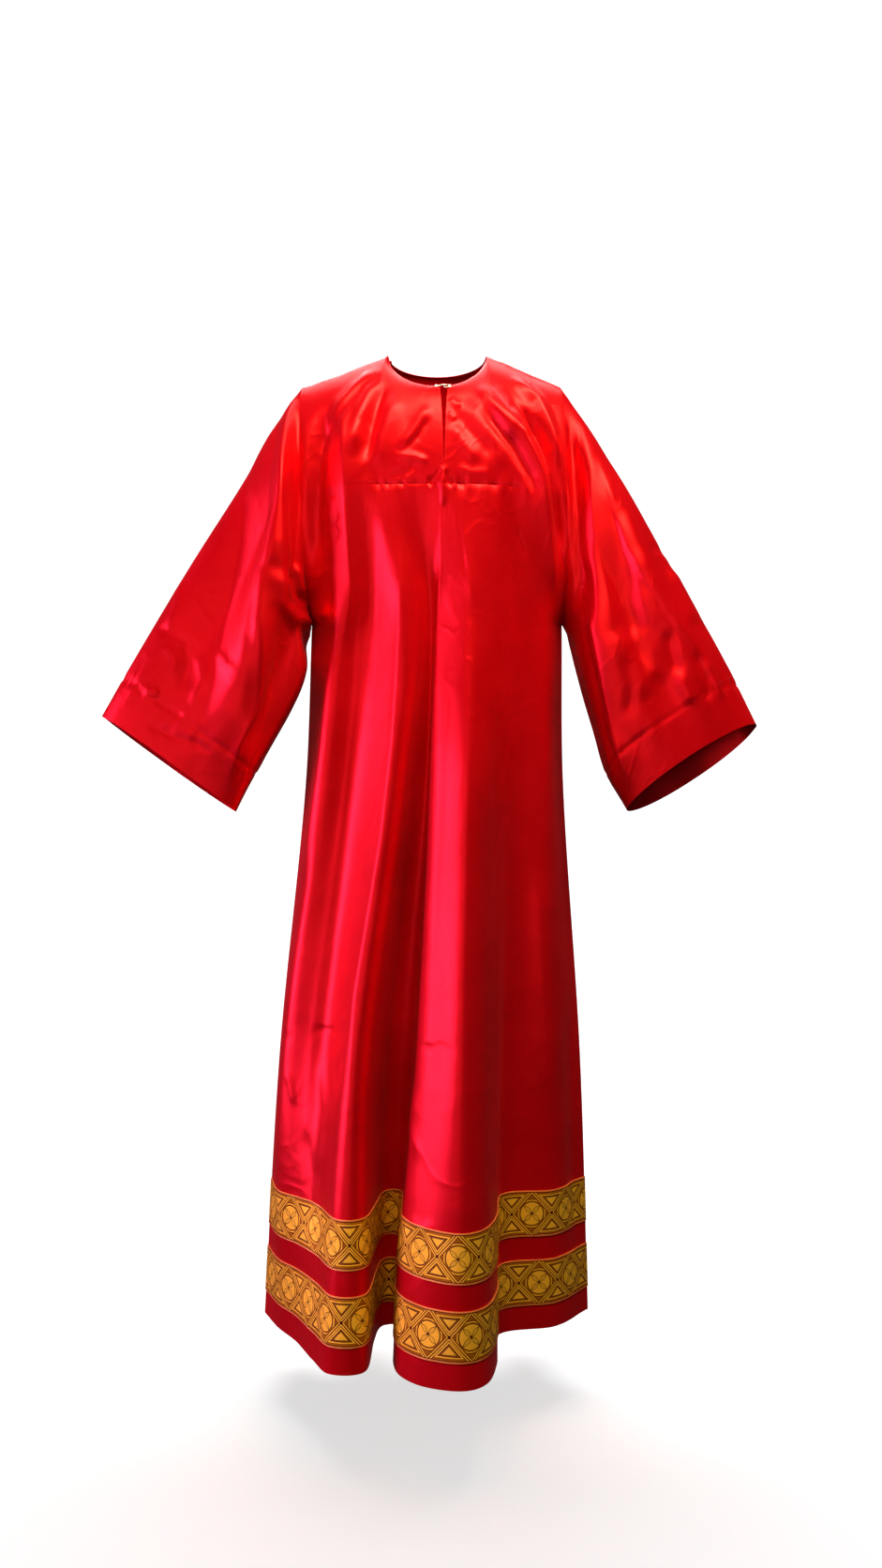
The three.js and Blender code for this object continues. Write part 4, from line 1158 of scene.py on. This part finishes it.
def strip_on(panel_points, low, width, rise, count=16):
    """Rows of points on a panel between two heights above the hem, moved out by `rise`."""
    normals = normals_of(panel_points)
    z = panel_points[:, :, 2].mean(axis=1)
    wanted = np.linspace(HEM_Z + low + width, HEM_Z + low, count + 1)
    index = np.interp(-wanted, -z, np.arange(len(z)))
    base = np.clip(np.floor(index).astype(int), 0, len(z) - 2)
    part = (index - base)[:, None, None]
    lifted = panel_points + normals * rise
    return mix(lifted[base], lifted[base + 1], part)


galloon_grids = {}
for row_name, low in GALLOON_STRIPS:
    for panel_name, panel_points in (("front", front_points), ("back", back_points)):
        strip = strip_on(panel_points, low, GALLOON_WIDTH, GALLOON_LIFT + GALLOON_MM)
        piece = cloth_piece(f"galloon_{row_name}_{panel_name}", strip, galloon, thickness=GALLOON_MM)
        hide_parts(f"band_{row_name}_{panel_name}")
        galloon_grids[f"{row_name}_{panel_name}"] = (strip, normals_of(strip))

# %% [markdown]
# ## Stitches
# The seams are sewn by machine in matching thread, so the stitches show only as a fine row of beads.
# One stitch is a low ball, drawn out along its seam, and each row of them is one small mesh.

# %% Rows of stitches
STITCH_LONG = 1.5
STITCH_THICK = 0.32
STITCH_PITCH = 4.0
STITCH_LIFT = 0.12   # how far its middle stands above the cloth
CHEST_STITCH_ROW = YOKE_ROWS - 0.9
NECK_STITCH_ROW = 2.5


def thread_finish():
    finish, tree, shader = new_finish("red_thread", Roughness=0.45, Specular_Tint=(1.0, 0.34, 0.32, 1))
    twist = mottle(tree, node(tree, "ShaderNodeTexCoord").outputs["Object"], 900.0, 1.0)
    shades = colour_mix(tree, twist, (0.40, 0.0, 0.004, 1), (0.78, 0.004, 0.012, 1))
    tree.links.new(shades, shader.inputs["Base Color"])
    return finish


thread = thread_finish()
ball = bmesh.new()
bmesh.ops.create_icosphere(ball, subdivisions=1, radius=1)
ball.verts.ensure_lookup_table()
BALL_POINTS = np.array([tuple(vert.co) for vert in ball.verts])
BALL_FACES = np.array([[vert.index for vert in face.verts] for face in ball.faces])
ball.free()


def stitch_rows(name, lines):
    """Rows of stitches as one mesh. Each line is its points and the cloth's normals there, in mm."""
    points, faces = [], []

    def at(values, run, along):
        return np.array([np.interp(along, run, column) for column in values.T])

    for line, normals in lines:
        run = np.concatenate([[0], np.cumsum(np.linalg.norm(np.diff(line, axis=0), axis=1))])
        for along in np.arange(STITCH_PITCH / 2, run[-1], STITCH_PITCH):
            forward = at(line, run, along + 1) - at(line, run, along - 1)
            forward = forward / np.linalg.norm(forward)
            outward = at(normals, run, along)
            outward = outward - forward * (outward @ forward)
            outward = outward / np.linalg.norm(outward)
            axes = np.stack([forward * STITCH_LONG, np.cross(outward, forward) * STITCH_THICK,
                             outward * STITCH_THICK])
            faces.append(BALL_FACES + len(points) * len(BALL_POINTS))
            points.append(at(line, run, along) + outward * STITCH_LIFT + BALL_POINTS @ axes)
    mesh = bpy.data.meshes.new(name)
    mesh.from_pydata((np.concatenate(points) * MM).tolist(), [], np.concatenate(faces).tolist())
    made = in_scene(mesh)
    mesh.materials.append(thread)
    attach(made, "root")
    return made, len(points)


def line_at(points, normals, row):
    """The points and normals of a grid at a row number that need not be whole."""
    base = int(min(row, len(points) - 2))
    return [mix(grid[base], grid[base + 1], row - base) for grid in (points, normals)]


# %% The stitches of each piece
yoke_out = normals_of(body_points)[: YOKE_ROWS + 1]
neck_start, neck_end = [round(share * BODY_COLUMNS) for share in (SHOULDER_SHARE[1], 1 - SHOULDER_SHARE[1])]
chest_line, chest_out = line_at(yoke_points, yoke_out, CHEST_STITCH_ROW)
neck_line, neck_out = line_at(yoke_points, yoke_out, NECK_STITCH_ROW)
slit_rows = int(np.argmax(yoke_points[:, slit_middle, 2] < SLIT_FOOT_Z))
yoke_lines = [(chest_line[4:-4], chest_out[4:-4])]
for part in (slice(neck_start, slit_middle - 1), slice(slit_middle + 3, neck_end + 1)):
    yoke_lines.append((neck_line[part], neck_out[part]))
for column in (slit_middle - 1, slit_middle + 2):
    yoke_lines.append((yoke_points[3:slit_rows, column], yoke_out[3:slit_rows, column]))
yoke_stitches, count = stitch_rows("yoke_stitches", yoke_lines)
print("stitches on the yoke", count)

cuff_stitches = {}
for side, name in ((-1, "right"), (1, "left")):
    points = sleeve_points[side]
    out = normals_of(points, closed=True)
    down = running_lengths(points, 0)
    row = float(np.interp(down[-1] - CUFF_HEM + 2.0, down, np.arange(len(down))))
    cuff_stitches[side], count = stitch_rows(f"cuff_stitches_{name}", [line_at(points, out, row)])
    print("stitches on the cuff", count)

galloon_stitches = {}
for name, (strip, out) in galloon_grids.items():
    lines = [line_at(strip, out, row) for row in (0.35, len(strip) - 1.35)]
    galloon_stitches[name], count = stitch_rows(f"galloon_stitches_{name}", lines)
print("stitches along one strip", count)

# %% [markdown]
# ## Hook and eye
# A gilt hook and eye close the neck above the slit. Each is one bent wire: the eye is a ring with two
# small loops to sew it by, and the hook is a doubled wire whose tip turns under.

# %% The hook and eye
def wire_finish():
    finish, tree, shader = new_finish("gilt_wire", Metallic=0.9, Roughness=0.28)
    wear = mottle(tree, node(tree, "ShaderNodeTexCoord").outputs["Object"], 700.0, 2.0)
    shades = colour_mix(tree, wear, (0.66, 0.56, 0.38, 1), (0.97, 0.93, 0.82, 1))
    tree.links.new(shades, shader.inputs["Base Color"])
    return finish


gilt = wire_finish()


def bent_wire(name, routes, radius):
    """Round wires along smooth routes of points in mm, as one mesh."""
    curve = bpy.data.curves.new(name, "CURVE")
    curve.dimensions = "3D"
    curve.bevel_depth = radius * MM
    curve.bevel_resolution = 3
    curve.use_fill_caps = True
    for route in routes:
        line = curve.splines.new("POLY")
        line.points.add(len(route) - 1)
        for point, place in zip(line.points, route):
            point.co = (*(np.asarray(place) * MM), 1)
    shape = bpy.data.objects.new(name + "_shape", curve)
    bpy.context.scene.collection.objects.link(shape)
    mesh = bpy.data.meshes.new_from_object(shape)
    bpy.data.objects.remove(shape)
    bpy.data.curves.remove(curve)
    mesh.name = name
    mesh.materials.clear()
    mesh.materials.append(gilt)
    made = in_scene(mesh)
    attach(made, "root")
    return made


# %% Where the hook and eye lie
WIRE_RADIUS = 0.55
WIRE_APART = 0.65
EYE_RADIUS = 4.0
LOOP_RADIUS = 1.3
eye_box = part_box("neck_eye")
eye_centre = (np.array(eye_box[0]) + np.array(eye_box[1])) / 2 / MM
up = yoke_points[1, slit_middle + 1] - yoke_points[7, slit_middle + 1]
up = np.array([0, up[1], up[2]]) / np.linalg.norm(up[1:])
outward = np.array([0, -up[2], up[1]])


def on_cloth(x, y, z):
    return eye_centre + np.array([x, 0, 0]) + up * y + outward * z


def ring(x, y, radius, start, end, z=0.0, count=28):
    return [on_cloth(x + radius * math.cos(angle), y + radius * math.sin(angle), z)
            for angle in np.radians(np.linspace(start, end, count))]


def sewing_loops(x, apart, z=0.0):
    """The two small loops by which a hook or an eye is sewn on."""
    return [ring(x, sign * apart, LOOP_RADIUS, 0, 345, z, count=14) for sign in (-1, 1)]


# %% The eye: one ring, and a small loop on each side of its foot
eye_routes = [ring(0, 0, EYE_RADIUS, -160, 160)] + sewing_loops(EYE_RADIUS * 0.9 + 1.2, 2.6)
eye_wire = bent_wire("eye_wire", eye_routes, WIRE_RADIUS)
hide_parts("neck_eye")
print("eye centre", eye_centre.round(1), "outward", outward.round(2))

# %% The hook: a doubled wire that rises over the eye, and turns under beyond it
hook_side = [(-13.0, 0.3), (-10.0, 0.5), (-7.6, 1.0), (-5.6, 1.7), (-4.0, 2.0), (-2.6, 1.7),
             (-1.8, 0.8), (-2.0, -0.3), (-3.0, -0.9)]
knots = np.arange(len(hook_side))
bend = smooth_through(knots, hook_side, np.linspace(0, len(hook_side) - 1.0001, 40))
hook_routes = [[on_cloth(x, sign * WIRE_APART, z) for x, z in bend] for sign in (-1, 1)]
hook_routes += sewing_loops(hook_side[0][0] - 1.2, 1.75, z=hook_side[0][1])
hook_wire = bent_wire("hook_wire", hook_routes, WIRE_RADIUS)
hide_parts("neck_hook")
print("hook", len(hook_wire.data.polygons), "faces")
